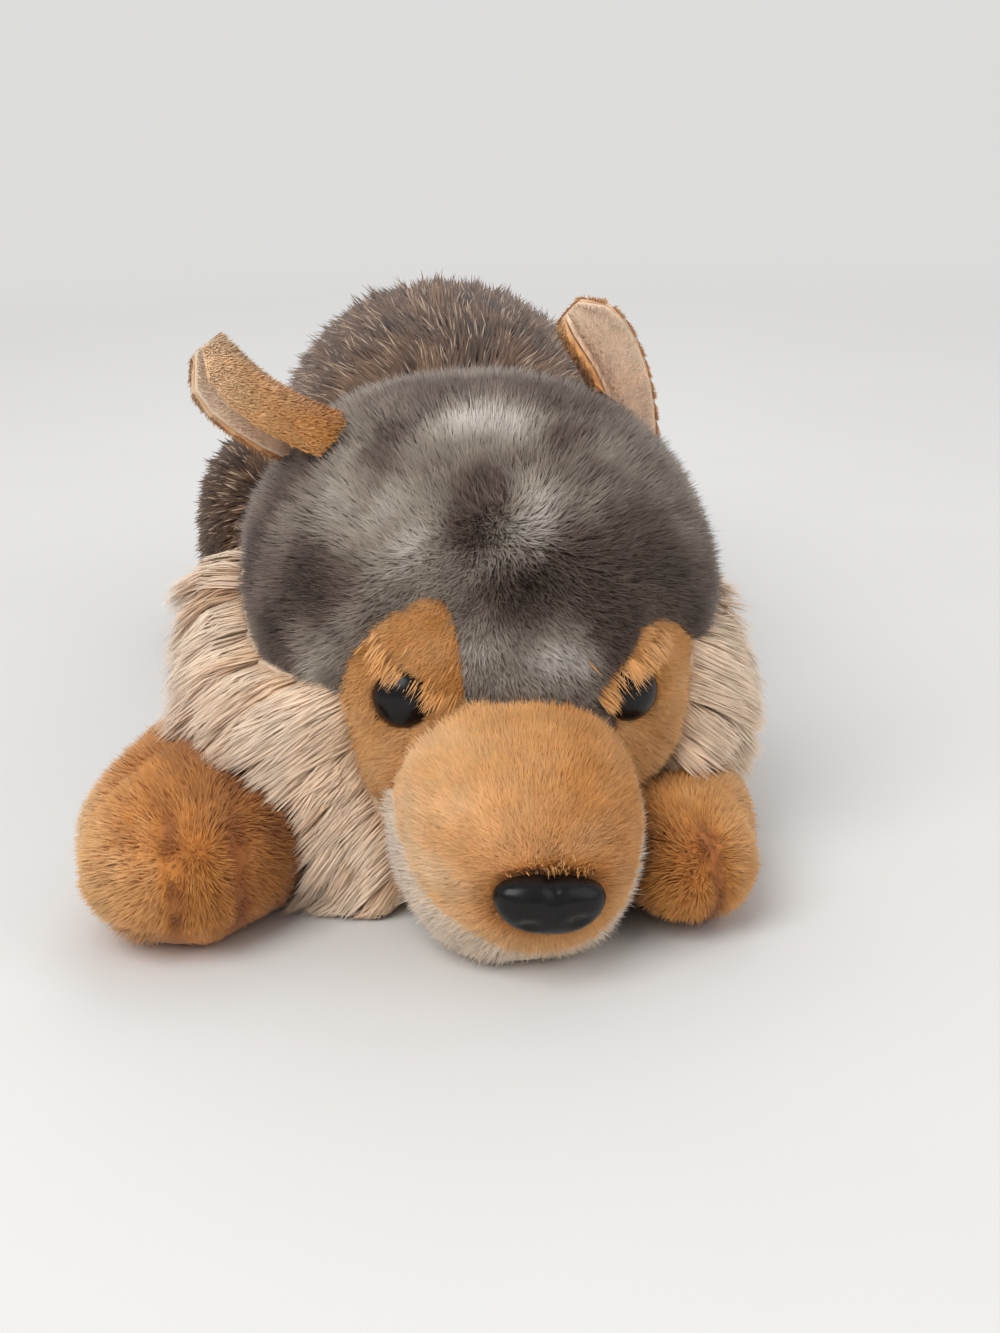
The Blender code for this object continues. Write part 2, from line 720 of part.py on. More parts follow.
def make_ear(side, crown_rooms):
    """A cupped leaf of two cloths: a furry back and a suede lining, both sewn into the crown."""
    ear = EARS[side]
    root, mid, tip = (Vector(ear[key]) * MM for key in ("root", "mid", "tip"))
    facing = Vector(ear["facing"]).normalized()
    rows, columns = EAR_ROWS, EAR_COLUMNS
    back = EAR_LINING + EAR_GAP

    def leaf(inner, outer, name, slot):
        points = []
        for level in (outer, inner):
            for i in range(rows):
                share = (1 + EAR_SEWN_SHARE) * i / (rows - 1) - EAR_SEWN_SHARE
                centre = root * (1 - share) ** 2 + mid * 2 * share * (1 - share) + tip * share**2
                along = ((mid - root) * (1 - share) + (tip - mid) * share).normalized()
                front = (facing - along * facing.dot(along)).normalized()
                across = along.cross(front)
                fade = max(0.0, (share - ear["tip_share"]) / (1.0 - ear["tip_share"]))
                half_width = ear["width"] * MM / 2 * math.sqrt(1 - EAR_TIP_NARROWING * fade**2)
                bow = math.radians(ear["cup"]) / 2
                radius = half_width / math.sin(min(bow, math.pi / 2))
                for j in range(columns):
                    angle = bow * (2 * j / (columns - 1) - 1)
                    reach = radius + level
                    points.append(centre + across * reach * math.sin(angle)
                                  + front * (radius - reach * math.cos(angle)))
        faces = []
        layer = rows * columns
        for i in range(rows - 1):
            for j in range(columns - 1):
                a = i * columns + j
                quad = [a, a + 1, a + columns + 1, a + columns]
                faces.append(quad)
                faces.append([layer + k for k in reversed(quad)])
        ring = list(range(columns))
        ring += [i * columns + columns - 1 for i in range(1, rows)]
        ring += [(rows - 1) * columns + j for j in range(columns - 2, -1, -1)]
        ring += [i * columns for i in range(rows - 2, 0, -1)]
        for a, b in zip(ring, ring[1:] + ring[:1]):
            faces.append([b, a, a + layer, b + layer])
        made = mesh_object(name, points, faces, slot)
        cut(made, *crown_rooms)
        return made

    leaf(back, back + EAR_THICKNESS, "ear_back_" + side, "tan_fur")
    leaf(0.0, EAR_LINING, "ear_lining_" + side, "ear_suede")


def toe_lines(form):
    """Two creases over the front of a paw, as unit vectors."""
    tilts = np.linspace(*TOE_TILTS, 6)
    return [form.unit([(tilt, round_ + flank) for tilt in tilts])
            for round_ in TOE_ROUNDS for flank in (0.0, -TOE_FLANK, TOE_FLANK)]


def toe_crease(form):
    """How deep the pile is drawn in at each point by the two toe stitches."""
    grooves = toe_lines(form)[::3]

    def depth(unit):
        found = np.zeros(len(unit))
        for groove in grooves:
            near = np.linalg.norm(unit[:, None] - groove[None], axis=2).min(axis=1)
            found = np.maximum(found, TOE_CREASE * (1 - smooth(near / TOE_CREASE_WIDTH)))
        return found

    return depth


def arm_form(arm):
    height = arm["height"] * MM
    middle = height / 2 + CLOTH_REST / 2
    return Form((arm["place"][0] * MM, arm["place"][1] * MM, middle), arm["width"] * MM, arm["length"] * MM / 2,
                arm["length"] * MM / 2, height / 2, middle, 2.5, turned((arm["turn"], "Z")), arm["taper"])


def make_arm(side, arm, cutters):
    form = arm_form(arm)
    seam = girdle(form, LEG_SEAM)
    name = "front_leg_" + side
    cover = sheet(name + "_cover", form, seam, even(LEG_PILE), "tan_fur", middle=UP, lines=toe_lines(form),
                  crease=toe_crease(form))
    sole = sheet(name + "_sole", form, seam, even(BELLY_PILE), "tan_fur", middle=-UP)
    filling = stuffed(name + "_stuffing", form, 2)
    for piece in (cover, sole, filling):
        cut(piece, *cutters)
    return space(name + "_space", form, LEG_PILE + RUFF_CLEARANCE, 4)


def hip(side):
    """Sideways place of the rump's middle and the sign of this side."""
    sign = 1 if side == "left" else -1
    return BODY_SWAY + BODY_PLACE.x, sign


def make_hind_leg(side, body_rooms):
    middle, sign = hip(side)
    thigh = Form((middle + sign * THIGH_REACH, THIGH_Y, THIGH_HEIGHT / 2 + CLOTH_REST), THIGH_WIDTH,
                 THIGH_LENGTH / 2, THIGH_LENGTH / 2, THIGH_HEIGHT / 2, THIGH_HEIGHT / 2 + CLOTH_REST, 2.3)
    outward = Vector((sign, 0, 0))
    outline = girdle(thigh, THIGH_SEAM, outward)
    cover = sheet("thigh_" + side, thigh, outline, even(THIGH_PILE), "back_fur", middle=outward)
    filling = stuffed("thigh_stuffing_" + side, thigh, 2, BODY_STUFFING_GAP)
    thigh_room = space("thigh_room_" + side, thigh, THIGH_PILE + 3 * CUT_CLEARANCE, 4)
    cut(cover, *body_rooms)
    cut(filling, *body_rooms)
    middle_z = HIND_FOOT_HEIGHT / 2 + CLOTH_REST / 2
    foot = Form((middle + sign * HIND_FOOT_REACH, HIND_FOOT_Y, middle_z), HIND_FOOT_WIDTH, HIND_FOOT_LENGTH / 2,
                HIND_FOOT_LENGTH / 2, HIND_FOOT_HEIGHT / 2, middle_z, 2.5, turned((sign * 4.0, "Z")), 0.08)
    seam = girdle(foot, LEG_SEAM)
    pieces = (
        sheet("hind_foot_cover_" + side, foot, seam, even(LEG_PILE), "tan_fur", middle=UP),
        sheet("hind_foot_sole_" + side, foot, seam, even(BELLY_PILE), "tan_fur", middle=-UP),
        stuffed("hind_foot_stuffing_" + side, foot, 2),
    )
    stop = foot_stop("foot_stop_" + side, foot)
    for piece in pieces:
        cut(piece, stop, *body_rooms, thigh_room)


def foot_stop(name, foot):
    """A block that ends a hind foot inside the front of its thigh."""
    start = THIGH_Y - FOOT_STOP_SHARE * THIGH_LENGTH
    half = (2 * HIND_FOOT_WIDTH, HIND_FOOT_LENGTH, 2 * HIND_FOOT_HEIGHT)
    middle = (foot.place[0], start + half[1], foot.place[2])
    corners = [[middle[k] + sign * half[k] for k, sign in enumerate(signs)]
               for signs in ((-1, -1, -1), (1, -1, -1), (1, 1, -1), (-1, 1, -1),
                             (-1, -1, 1), (1, -1, 1), (1, 1, 1), (-1, 1, 1))]
    faces = ((0, 3, 2, 1), (4, 5, 6, 7), (0, 1, 5, 4), (1, 2, 6, 5), (2, 3, 7, 6), (3, 0, 4, 7))
    return helper(mesh_object(name, corners, faces, None, smooth_shading=False))


def make_tail(body_rooms):
    middle = TAIL_HEIGHT / 2 + CLOTH_REST
    form = Form((*TAIL_PLACE, middle), TAIL_WIDTH, TAIL_LENGTH / 2, TAIL_LENGTH / 2, TAIL_HEIGHT / 2, middle, 2.2,
                turned((-TAIL_TURN, "Z")), 0.12)
    seam = girdle(form, TAIL_SEAM)
    pieces = (
        sheet("tail_top", form, seam, even(TAIL_PILE), "back_fur", middle=UP),
        sheet("tail_underside", form, seam, even(TAIL_PILE), "cream_fur", middle=-UP),
        stuffed("tail_stuffing", form, 2),
    )
    for piece in pieces:
        cut(piece, *body_rooms)


def make_body(head_rooms, head_plug):
    seam = girdle(BODY, BODY_SEAM)
    back = sheet("back_panel", BODY, seam, even(BACK_PILE), "back_fur", middle=UP)
    belly = sheet("belly_panel", BODY, seam, even(BELLY_PILE), "cream_fur", middle=-UP)
    filling = stuffed("body_stuffing", BODY, gap=BODY_STUFFING_GAP)
    for piece in (back, belly, filling):
        cut(piece, *head_rooms, head_plug)
    return [room("back_room", BODY, seam, even(BACK_PILE), UP), room("belly_room", BODY, seam, even(BELLY_PILE), -UP)]


def centre_on_footprint():
    """Moves the empty so that the middle of the whole footprint is at the origin."""
    bpy.context.view_layer.update()
    graph = bpy.context.evaluated_depsgraph_get()
    corners = []
    for item in TOY.children:
        if item.hide_render:
            continue
        mesh = item.evaluated_get(graph).to_mesh()
        points = np.empty(len(mesh.vertices) * 3, np.float32)
        mesh.vertices.foreach_get("co", points)
        corners.append(points.reshape(-1, 3))
    points = np.vstack(corners)
    middle = (points.min(axis=0) + points.max(axis=0)) / 2
    TOY.location = (-float(middle[0]), -float(middle[1]), -float(points[:, 2].min()))


def sway(y):
    return BODY_SWAY * smooth((y - SWAY_START) / (SWAY_END - SWAY_START))


clear_scene()
TOY = bpy.data.objects.new("plush_wolf", None)
bpy.context.scene.collection.objects.link(TOY)

HEAD = Form(HEAD_PLACE, HEAD_WIDTH, HEAD_FRONT, HEAD_BACK, HEAD_TOP, HEAD_PLACE.z, 2.4, turned((HEAD_TURN, "Z")))
MUZZLE = Form(HEAD_PLACE + MUZZLE_OFFSET, MUZZLE_WIDTH, MUZZLE_FRONT, MUZZLE_BACK, MUZZLE_TOP,
              HEAD_PLACE.z + MUZZLE_OFFSET.z, 2.3, turned((MUZZLE_TURN, "Z"), (MUZZLE_DROOP, "X")))
BODY = Form(BODY_PLACE, BODY_WIDTH, BODY_FRONT, BODY_REAR, BODY_TOP, BODY_PLACE.z + 2 * MM, 2.3, sway=sway)

head_panels, head_room = make_head()
muzzle_top, chin_panel = make_muzzle()
muzzle_hole = space("muzzle_hole", MUZZLE, -BACKING)
muzzle_space = space("muzzle_space", MUZZLE, MUZZLE_PILE + CUT_CLEARANCE)
head_skin = space("head_skin", HEAD, HEAD_SKIN)
head_skin_room = space("head_skin_room", HEAD, HEAD_SKIN + CUT_CLEARANCE)
head_plug = space("head_plug", HEAD, -BACKING - STUFFING_GAP + CUT_CLEARANCE)
for panel in (muzzle_top, chin_panel):
    cut(panel, *head_room.values(), head_plug)
for panel in head_panels.values():
    cut(panel, muzzle_hole)

head_stuffing = stuffed("head_stuffing", HEAD)
muzzle_core = helper(stuffed("muzzle_core", MUZZLE, gap=STUFFING_GAP + 0.9 * MM))
join(head_stuffing, muzzle_core)

body_rooms = make_body([head_room["crown_panel"], head_room["cheek_right"], head_room["cheek_left"]], head_plug)
arm_cutters = [head_skin_room, *body_rooms, muzzle_space]
for side, arm in ARMS.items():
    arm_space = make_arm(side, arm, arm_cutters)
    cut(arm_space, head_skin)
    cut(head_panels["cheek_" + side], arm_space)
    cut(head_panels["face_patch_" + side], arm_space)
for side in ("right", "left"):
    make_hind_leg(side, body_rooms)
make_tail(body_rooms)

nose_frame = MUZZLE.frame(NOSE_DIRECTION, NOSE_ROLL)
nose, nose_well = make_nose(nose_frame @ Matrix.Translation((0, 0, NOSE_SEAT)))
make_washer("nose_washer", nose_frame)
nose_hole, nose_pocket = make_fixing_spaces("nose", nose_frame)
for panel in (muzzle_top, chin_panel):
    cut(panel, nose_well, nose_hole)
cut(head_stuffing, nose_well, nose_pocket, nose_hole)

for side, direction in EYES.items():
    eye_frame = HEAD.frame(direction)
    eye_well = make_eye("eye_" + side, eye_frame)
    make_washer("eye_washer_" + side, eye_frame)
    hole, pocket = make_fixing_spaces("eye_" + side, eye_frame)
    cut(head_panels["face_patch_" + side], eye_well, hole)
    cut(head_panels["crown_panel"], eye_well)
    cut(head_stuffing, pocket, hole)

for side in EARS:
    make_ear(side, [head_room["crown_panel"], head_room["cheek_" + side]])

centre_on_footprint()
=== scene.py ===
import json
import math

import bpy
import numpy as np
from mathutils import Matrix, Vector
from mathutils.bvhtree import BVHTree
from mathutils.kdtree import KDTree

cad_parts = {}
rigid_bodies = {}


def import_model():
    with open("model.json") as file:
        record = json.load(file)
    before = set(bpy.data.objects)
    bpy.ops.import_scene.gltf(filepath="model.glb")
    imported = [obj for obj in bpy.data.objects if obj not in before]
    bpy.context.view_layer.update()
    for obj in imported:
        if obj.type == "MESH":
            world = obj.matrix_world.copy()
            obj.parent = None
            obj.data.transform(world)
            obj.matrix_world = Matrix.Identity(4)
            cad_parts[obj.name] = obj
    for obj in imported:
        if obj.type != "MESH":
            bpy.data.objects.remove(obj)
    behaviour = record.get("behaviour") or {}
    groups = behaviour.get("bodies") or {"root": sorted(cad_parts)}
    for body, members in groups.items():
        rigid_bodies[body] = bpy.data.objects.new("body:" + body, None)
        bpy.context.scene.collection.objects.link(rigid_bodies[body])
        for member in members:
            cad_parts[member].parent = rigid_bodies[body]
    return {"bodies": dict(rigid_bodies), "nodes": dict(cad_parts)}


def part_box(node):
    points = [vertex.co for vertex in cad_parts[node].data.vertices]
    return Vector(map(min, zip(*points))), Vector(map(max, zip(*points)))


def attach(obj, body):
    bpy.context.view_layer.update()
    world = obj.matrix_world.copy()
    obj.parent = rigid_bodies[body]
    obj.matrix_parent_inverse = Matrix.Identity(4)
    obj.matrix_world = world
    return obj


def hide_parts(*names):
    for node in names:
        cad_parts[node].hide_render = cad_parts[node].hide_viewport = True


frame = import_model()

# A plush wolf lying on its belly. Every panel of cloth is a closed skin at the foot of its pile, and its
# pile is many thin blades of hair that rise from that skin to the outer face of the panel's solid.
# Everything is in metres, with the nose towards -Y and +X on the animal's own left.

MM = 0.001
UP = np.array((0.0, 0.0, 1.0))
DOWN = -UP
FORWARD = np.array((0.0, -1.0, 0.0))
BACK = -FORWARD

# Camera, placed from the nose. The long side of the photograph is 1333 pixels.
CAMERA_FROM_NOSE = Vector((-0.0733, -0.4053, 0.1781))
CAMERA_TURN = math.radians(9.0)
CAMERA_PITCH = math.radians(17.0)
CAMERA_ROLL = math.radians(-1.5)
CAMERA_LENS = 56.25

# Surfaces
WELD = 0.001 * MM
ROUNDING = 0.6
BACKING_REACH = 2.8 * MM
BODY_BACKING_REACH = 3.2 * MM
EAR_BACKING_REACH = 1.1 * MM
FLOOR_CONTACT = 0.6 * MM
FACE_LEAN = 0.3
WALL_LEAN = -0.3
HAIR_FLOOR = 0.3 * MM
DEEPEST_ROOT = 4.5 * MM
CLOTH_TIP = 0.35
# Cloth off the furred faces, at seams and rims, takes this low tip value, which darkens it as painted shade.
SEAM_SHADE_TIP = 0.05

# Hair. The spreads are the least and the most that a hair has of its length, rise and width.
TWIST = 0.35
SIDE_WANDER = 0.12
NORMAL_SHARE = 0.75
LENGTH_SPREAD = (0.6, 1.15)
RISE_SPREAD = (0.72, 1.08)
HALF_WIDTH_SPREAD = (0.3, 0.65)
MIDDLE_RISE = 0.68
MIDDLE_FLOW = 0.36
MIDDLE_STRAY = 0.3
MIDDLE_PULL = 0.45
CHART_STEP = 0.0015
CHART_SPREAD = 0.46


def unit(vectors):
    """The same vectors at length one."""
    size = np.linalg.norm(vectors, axis=-1, keepdims=True)
    return vectors / np.maximum(size, 1e-12)


def dot(a, b):
    return (a * b).sum(-1, keepdims=True)


def tangent(vectors, normals):
    """The vectors laid into the surface, at length one."""
    return unit(vectors - dot(vectors, normals) * normals)


def middle(node):
    """The middle of a node's box."""
    low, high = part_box(node)
    return np.array((low + high) / 2)


def waves(points, size, seed):
    """Smooth noise from about -1 to 1, with features of about the given size."""
    rng = np.random.default_rng(seed)
    total = np.zeros(len(points))
    for octave in range(3):
        for _ in range(4):
            direction = unit(rng.normal(size=3))
            phase = rng.uniform(0, 2 * math.pi)
            pace = math.pi / size * rng.uniform(0.6, 1.4) * 1.8 ** octave
            total += np.sin(points @ direction * pace + phase) / 1.6 ** octave
    return total / 3.6


def blot(points, place, radius):
    """One at a place given in millimetres, falling softly to nothing around it."""
    away = np.linalg.norm(points - np.array(place) * MM, axis=1)
    return np.exp(-(away / (radius * MM)) ** 2)


# Anchors read from the solids
NOSE = middle("nose")
EYES = {"right": middle("eye_right"), "left": middle("eye_left")}
HEAD = middle("head_stuffing")
CROWN_LOW, CROWN_HIGH = (np.array(corner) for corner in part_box("crown_panel"))
CROWN_MIDDLE = (CROWN_LOW + CROWN_HIGH) / 2
FOREHEAD = CROWN_LOW[1] + 14 * MM
NECK = CROWN_HIGH[1] - 30 * MM
PALE_BAND = CROWN_HIGH[1] + 38 * MM
FACE_HEIGHT = 48 * MM
FACE = np.array((HEAD[0], 0.0, FACE_HEIGHT))
OUTWARD = {"right": np.array((-1.0, 0.0, 0.0)), "left": np.array((1.0, 0.0, 0.0))}


def make_camera():
    """Looks down at the animal from the front, a little from its right."""
    level = Vector((math.sin(CAMERA_TURN), math.cos(CAMERA_TURN), 0))
    across = Vector((math.cos(CAMERA_TURN), -math.sin(CAMERA_TURN), 0))
    ahead = level * math.cos(CAMERA_PITCH) - Vector((0, 0, math.sin(CAMERA_PITCH)))
    upright = across.cross(ahead)
    right = across * math.cos(CAMERA_ROLL) + upright * math.sin(CAMERA_ROLL)
    top = upright * math.cos(CAMERA_ROLL) - across * math.sin(CAMERA_ROLL)
    camera = bpy.data.objects.new("camera", bpy.data.cameras.new("camera"))
    bpy.context.scene.collection.objects.link(camera)
    camera.data.sensor_width = 36
    camera.data.lens = CAMERA_LENS
    camera.data.clip_start = 0.01
    turned = Matrix((right, top, -ahead)).transposed().to_4x4()
    turned.translation = Vector(NOSE) + CAMERA_FROM_NOSE
    camera.matrix_world = turned
    bpy.context.scene.camera = camera


# Meshes

def welded(node):
    """A node's points and triangles, with the points that its faces share joined."""
    mesh = frame["nodes"][node].data
    mesh.calc_loop_triangles()
    points = np.empty(len(mesh.vertices) * 3)
    mesh.vertices.foreach_get("co", points)
    points = points.reshape(-1, 3)
    corners = np.empty(len(mesh.loop_triangles) * 3, int)
    mesh.loop_triangles.foreach_get("vertices", corners)
    keys = np.round(points / WELD).astype(int)
    _, first, same = np.unique(keys, axis=0, return_index=True, return_inverse=True)
    return points[first], same.reshape(-1)[corners].reshape(-1, 3)


def new_object(name, points, faces, smooth=True):
    """A mesh object from points and faces of one size."""
    faces = np.asarray(faces)
    size = faces.shape[1]
    mesh = bpy.data.meshes.new(name)
    mesh.vertices.add(len(points))
    mesh.vertices.foreach_set("co", np.asarray(points, np.float32).ravel())
    mesh.loops.add(faces.size)
    mesh.loops.foreach_set("vertex_index", faces.astype(np.int32).ravel())
    mesh.polygons.add(len(faces))
    mesh.polygons.foreach_set("loop_start", np.arange(0, faces.size, size, dtype=np.int32))
    mesh.polygons.foreach_set("use_smooth", np.full(len(faces), smooth))
    mesh.update(calc_edges=True)
    item = bpy.data.objects.new(name, mesh)
    bpy.context.scene.collection.objects.link(item)
    return item


def set_values(item, name, values):
    """Stores one number for each point of a mesh."""
    attribute = item.data.attributes.new(name, "FLOAT", "POINT")
    attribute.data.foreach_set("value", np.asarray(values, np.float32))


def halved(points, faces, normals, rounded):
    """Each triangle in four, with new points bulged on the edges between rounded faces."""
    edges = np.sort(faces[:, [0, 1, 1, 2, 2, 0]].reshape(-1, 2), axis=1)
    pairs, same = np.unique(edges, axis=0, return_inverse=True)
    same = same.reshape(-1, 3)
    count = np.zeros(len(pairs))
    np.add.at(count, same[rounded].ravel(), 1)
    a, b = points[pairs[:, 0]], points[pairs[:, 1]]
    na, nb = normals[pairs[:, 0]], normals[pairs[:, 1]]
    half = (a + b) / 2
    lift = (dot(a - half, na) * na + dot(b - half, nb) * nb) / 2
    half = half + np.where(count[:, None] > 1, ROUNDING * 2 * lift, 0)
    mids = same + len(points)
    i, j, k = faces.T
    x, y, z = mids.T
    parts = [(i, x, z), (x, j, y), (z, y, k), (x, y, z)]
    smaller = np.concatenate([np.stack(part, 1) for part in parts])
    return np.vstack((points, half)), smaller, np.tile(rounded, 4)


class Panel:
    """One panel of cloth: the skin at the foot of its pile, and where hair can stand on it."""

    def __init__(self, node, filling, backing, root_share, walls):
        self.node = node
        self.points, self.faces = welded(node)
        core_points, core_faces = welded(filling)
        core = BVHTree.FromPolygons(core_points.tolist(), core_faces.tolist())
        found = [core.find_nearest(point) for point in self.points]
        ground = np.array([hit[0] for hit in found])
        away = unit(self.points - ground)
        reach = np.array([hit[3] for hit in found])
        outer = reach > backing
        normals = self.face_normals(self.points)
        outwards = (normals * away[self.faces].mean(1)).sum(1)
        if walls:
            self.furred = (outer[self.faces].sum(1) > 1) & (outwards > WALL_LEAN)
        else:
            self.furred = outer[self.faces].all(1) & (outwards > FACE_LEAN)
        free = outer & (self.points[:, 2] > FLOOR_CONTACT)
        skin = np.minimum((reach - backing) * root_share, DEEPEST_ROOT)
        root_reach = np.where(free, backing + skin, reach)
        self.away = away
        self.rise = reach - root_reach
        self.skin = ground + away * root_reach[:, None]
        self.normals = self.point_normals()

    def face_normals(self, points):
        a, b, c = (points[self.faces[:, k]] for k in range(3))
        return unit(np.cross(b - a, c - a))

    def point_normals(self):
        """Normals of the furred faces at each point, and of all faces where there are none."""
        a, b, c = (self.skin[self.faces[:, k]] for k in range(3))
        weighted = np.cross(b - a, c - a)
        furred, whole = np.zeros_like(self.skin), np.zeros_like(self.skin)
        for k in range(3):
            np.add.at(furred, self.faces[self.furred, k], weighted[self.furred])
            np.add.at(whole, self.faces[:, k], weighted)
        has = np.linalg.norm(furred, axis=1) > 0
        return unit(np.where(has[:, None], furred, whole))

    def scatter(self, count, rng, crowding=None):
        """Places, normals and room to rise for that many hairs, spread evenly over the furred faces."""
        faces = self.faces[self.furred]
        corners = self.skin[faces]
        area = np.linalg.norm(np.cross(corners[:, 1] - corners[:, 0], corners[:, 2] - corners[:, 0]), axis=1)
        on_floor = self.points[faces][:, :, 2].max(1) < FLOOR_CONTACT
        weight = np.where(on_floor, 0, area)
        if crowding is not None:
            weight = weight * crowding(corners.mean(1))
        chosen = rng.choice(len(faces), count, p=weight / weight.sum())
        r1, r2 = np.sqrt(rng.random(count)), rng.random(count)
        share = np.stack((1 - r1, r1 * (1 - r2), r1 * r2), 1)[:, :, None]
        corners, normals = corners[chosen], self.normals[faces[chosen]]
        flat = (corners * share).sum(1)
        lift = (dot(corners - flat[:, None], normals) * normals * share).sum(1)
        rise = (self.rise[faces[chosen]][:, :, None] * share).sum(1)[:, 0]
        away = unit((self.away[faces[chosen]] * share).sum(1))
        roots = flat + ROUNDING * lift
        roots[:, 2] = np.maximum(roots[:, 2], HAIR_FLOOR)
        return roots, unit((normals * share).sum(1)), away, rise


def chart(points, panel):
    """A place between 0 and 1 for each point, as seen from the middle of the panel's own box."""
    low, high = panel.points.min(0), panel.points.max(0)
    spread = (points - (low + high) / 2) / np.maximum((high - low) / 2, MM)
    axis = unit(panel.normals[np.unique(panel.faces[panel.furred])].mean(0))
    across = unit(np.cross(axis, (0.3, 0.5, 0.8)))
    beside = np.cross(axis, across)
    direction = unit(spread)
    turn = np.arccos(np.clip(direction @ axis, -1, 1)) / math.pi
    u, v = direction @ across, direction @ beside
    size = np.maximum(np.hypot(u, v), 1e-9)
    return 0.5 + CHART_SPREAD * np.stack((u / size * turn, v / size * turn), 1)


def above_floor(points):
    points[:, 2] = np.maximum(points[:, 2], HAIR_FLOOR)
    return points


def gathered(roots, tips, mids, locks, pull, rng):
    """Draws hairs together into locks: each goes part of the way to the tip of the nearest leader."""
    leaders = rng.choice(len(roots), locks, replace=False)
    tree = KDTree(locks)
    for slot, leader in enumerate(leaders):
        tree.insert(roots[leader], slot)
    tree.balance()
    nearest = np.array([tree.find(root)[1] for root in roots])
    own = leaders[nearest]
    amount = pull * rng.uniform(0.5, 1.0, (len(roots), 1))
    tips = tips + (tips[own] - tips) * amount
    mids = mids + (mids[own] - mids) * amount * MIDDLE_PULL
    return tips, mids, rng.random(locks)[nearest]


def grow(panel, hairs, width, lay, reach, tone, seed, rise=1.0, lift=0.0, stray=0.22, curved=False,
         locks=0, pull=0.6, crowding=None, name="_pile"):
    """The pile of one panel as thin blades. lay gives the way that the hair lies at each place, and reach
    how far it goes that way while it rises to the outer face of the panel, and by lift above that face.
    A curved hair is widest at its middle, and a short one at its root."""
    rng = np.random.default_rng(seed)
    roots, normals, away, room = panel.scatter(hairs, rng, crowding)
    flow = tangent(lay(roots), normals)
    upright = unit(normals + away)
    length = reach(roots) if callable(reach) else np.full(hairs, reach)
    length = (length * rng.uniform(*LENGTH_SPREAD, hairs))[:, None]
    risen = rise(roots) if callable(rise) else rise
    room = ((room * risen + lift) * rng.uniform(*RISE_SPREAD, hairs))[:, None]
    loose = rng.normal(size=(hairs, 3)) * stray * (length + room)
    tips = roots + upright * room + flow * length + loose
    mids = roots + upright * room * MIDDLE_RISE + flow * length * MIDDLE_FLOW + loose * MIDDLE_STRAY
    lock = rng.random(hairs)
    if locks:
        tips, mids, lock = gathered(roots, tips, mids, locks, pull, rng)
    tips, mids = above_floor(tips), above_floor(mids)
    along = unit(tips - roots)
    side = unit(np.cross(along, normals + rng.normal(size=(hairs, 3)) * SIDE_WANDER))
    turn = rng.uniform(-TWIST, TWIST, (hairs, 1))
    side = side * np.cos(turn) + np.cross(along, side) * np.sin(turn)
    half = side * width * rng.uniform(*HALF_WIDTH_SPREAD, (hairs, 1))
    facing = np.cross(side, along)
    shade = unit(normals * NORMAL_SHARE + facing * (1 - NORMAL_SHARE))
    if curved:
        rows, heights = (roots, mids - half, mids + half, tips), (0, 0.5, 0.5, 1)
        cuts = ((0, 2, 1), (1, 2, 3))
    else:
        rows, heights = (roots - half, roots + half, tips), (0, 0, 1)
        cuts = ((0, 1, 2),)
    each = len(rows)
    points = np.stack(rows, 1).reshape(-1, 3)
    first = np.arange(hairs)[:, None] * each
    faces = np.stack([first + np.array(cut) for cut in cuts], 1).reshape(-1, 3)
    item = new_object(panel.node + name, points, faces)
    item.data.normals_split_custom_set_from_vertices(np.repeat(shade, each, axis=0))
    set_values(item, "tone", np.repeat(tone(roots, lock), each))
    set_values(item, "tip", np.tile(heights, hairs))
    set_values(item, "strand", np.repeat(rng.random(hairs), each))
    set_chart(item, chart(roots, panel), each)
    return item


def set_chart(item, places, each):
    """A small patch of the bake's map for each hair, at its root's place."""
    offsets = np.zeros((each, 2))
    offsets[:, 0] = CHART_STEP * np.resize((-1, 1, -1), each)
    offsets[:, 1] = np.linspace(-CHART_STEP, CHART_STEP, each)
    spots = (places[:, None] + offsets).reshape(-1, 2)
    corners = np.empty(len(item.data.loops), np.int32)
    item.data.loops.foreach_get("vertex_index", corners)
    layer = item.data.uv_layers.new(name="OFBake")
    layer.data.foreach_set("uv", spots[corners].astype(np.float32).ravel())


def make_cloth(panel, tone):
    """The closed skin of one panel, rounded on its furred side, with the cloth off its furred faces darkened
    as painted shade.
    """
    points, faces, rounded = halved(panel.skin, panel.faces, panel.normals, panel.furred)
    points[:, 2] = np.maximum(points[:, 2], 0)
    item = new_object(panel.node + "_cloth", points, faces)
    furred = np.zeros(len(points), bool)
    furred[faces[rounded]] = True
    set_values(item, "tone", tone(points, np.full(len(points), 0.5)))
    # Cloth off the furred faces gets the low seam tip value: painted shade on the seams and rims.
    set_values(item, "tip", np.where(furred, CLOTH_TIP, SEAM_SHADE_TIP))
    set_values(item, "strand", np.full(len(points), 0.5))
    return item


# Materials

def add_node(tree, kind, **inputs):
    """A shader node with its sockets set, by name or by number."""
    node = tree.nodes.new(kind)
    for name, value in inputs.items():
        node.inputs[int(name[1:]) if name[0] == "_" else name.replace("_", " ")].default_value = value
    return node


def read_value(tree, name):
    node = tree.nodes.new("ShaderNodeAttribute")
    node.attribute_name = name
    return node.outputs["Fac"]


def ramp(tree, source, stops):
    """Colours along a value, as (place, colour) pairs."""
    node = tree.nodes.new("ShaderNodeValToRGB")
    tree.links.new(source, node.inputs["Fac"])
    elements = node.color_ramp.elements
    while len(elements) < len(stops):
        elements.new(0.5)
    for element, (place, colour) in zip(elements, stops):
        element.position = place
        element.color = (*colour, 1) if hasattr(colour, "__len__") else (colour, colour, colour, 1)
    return node.outputs["Color"]


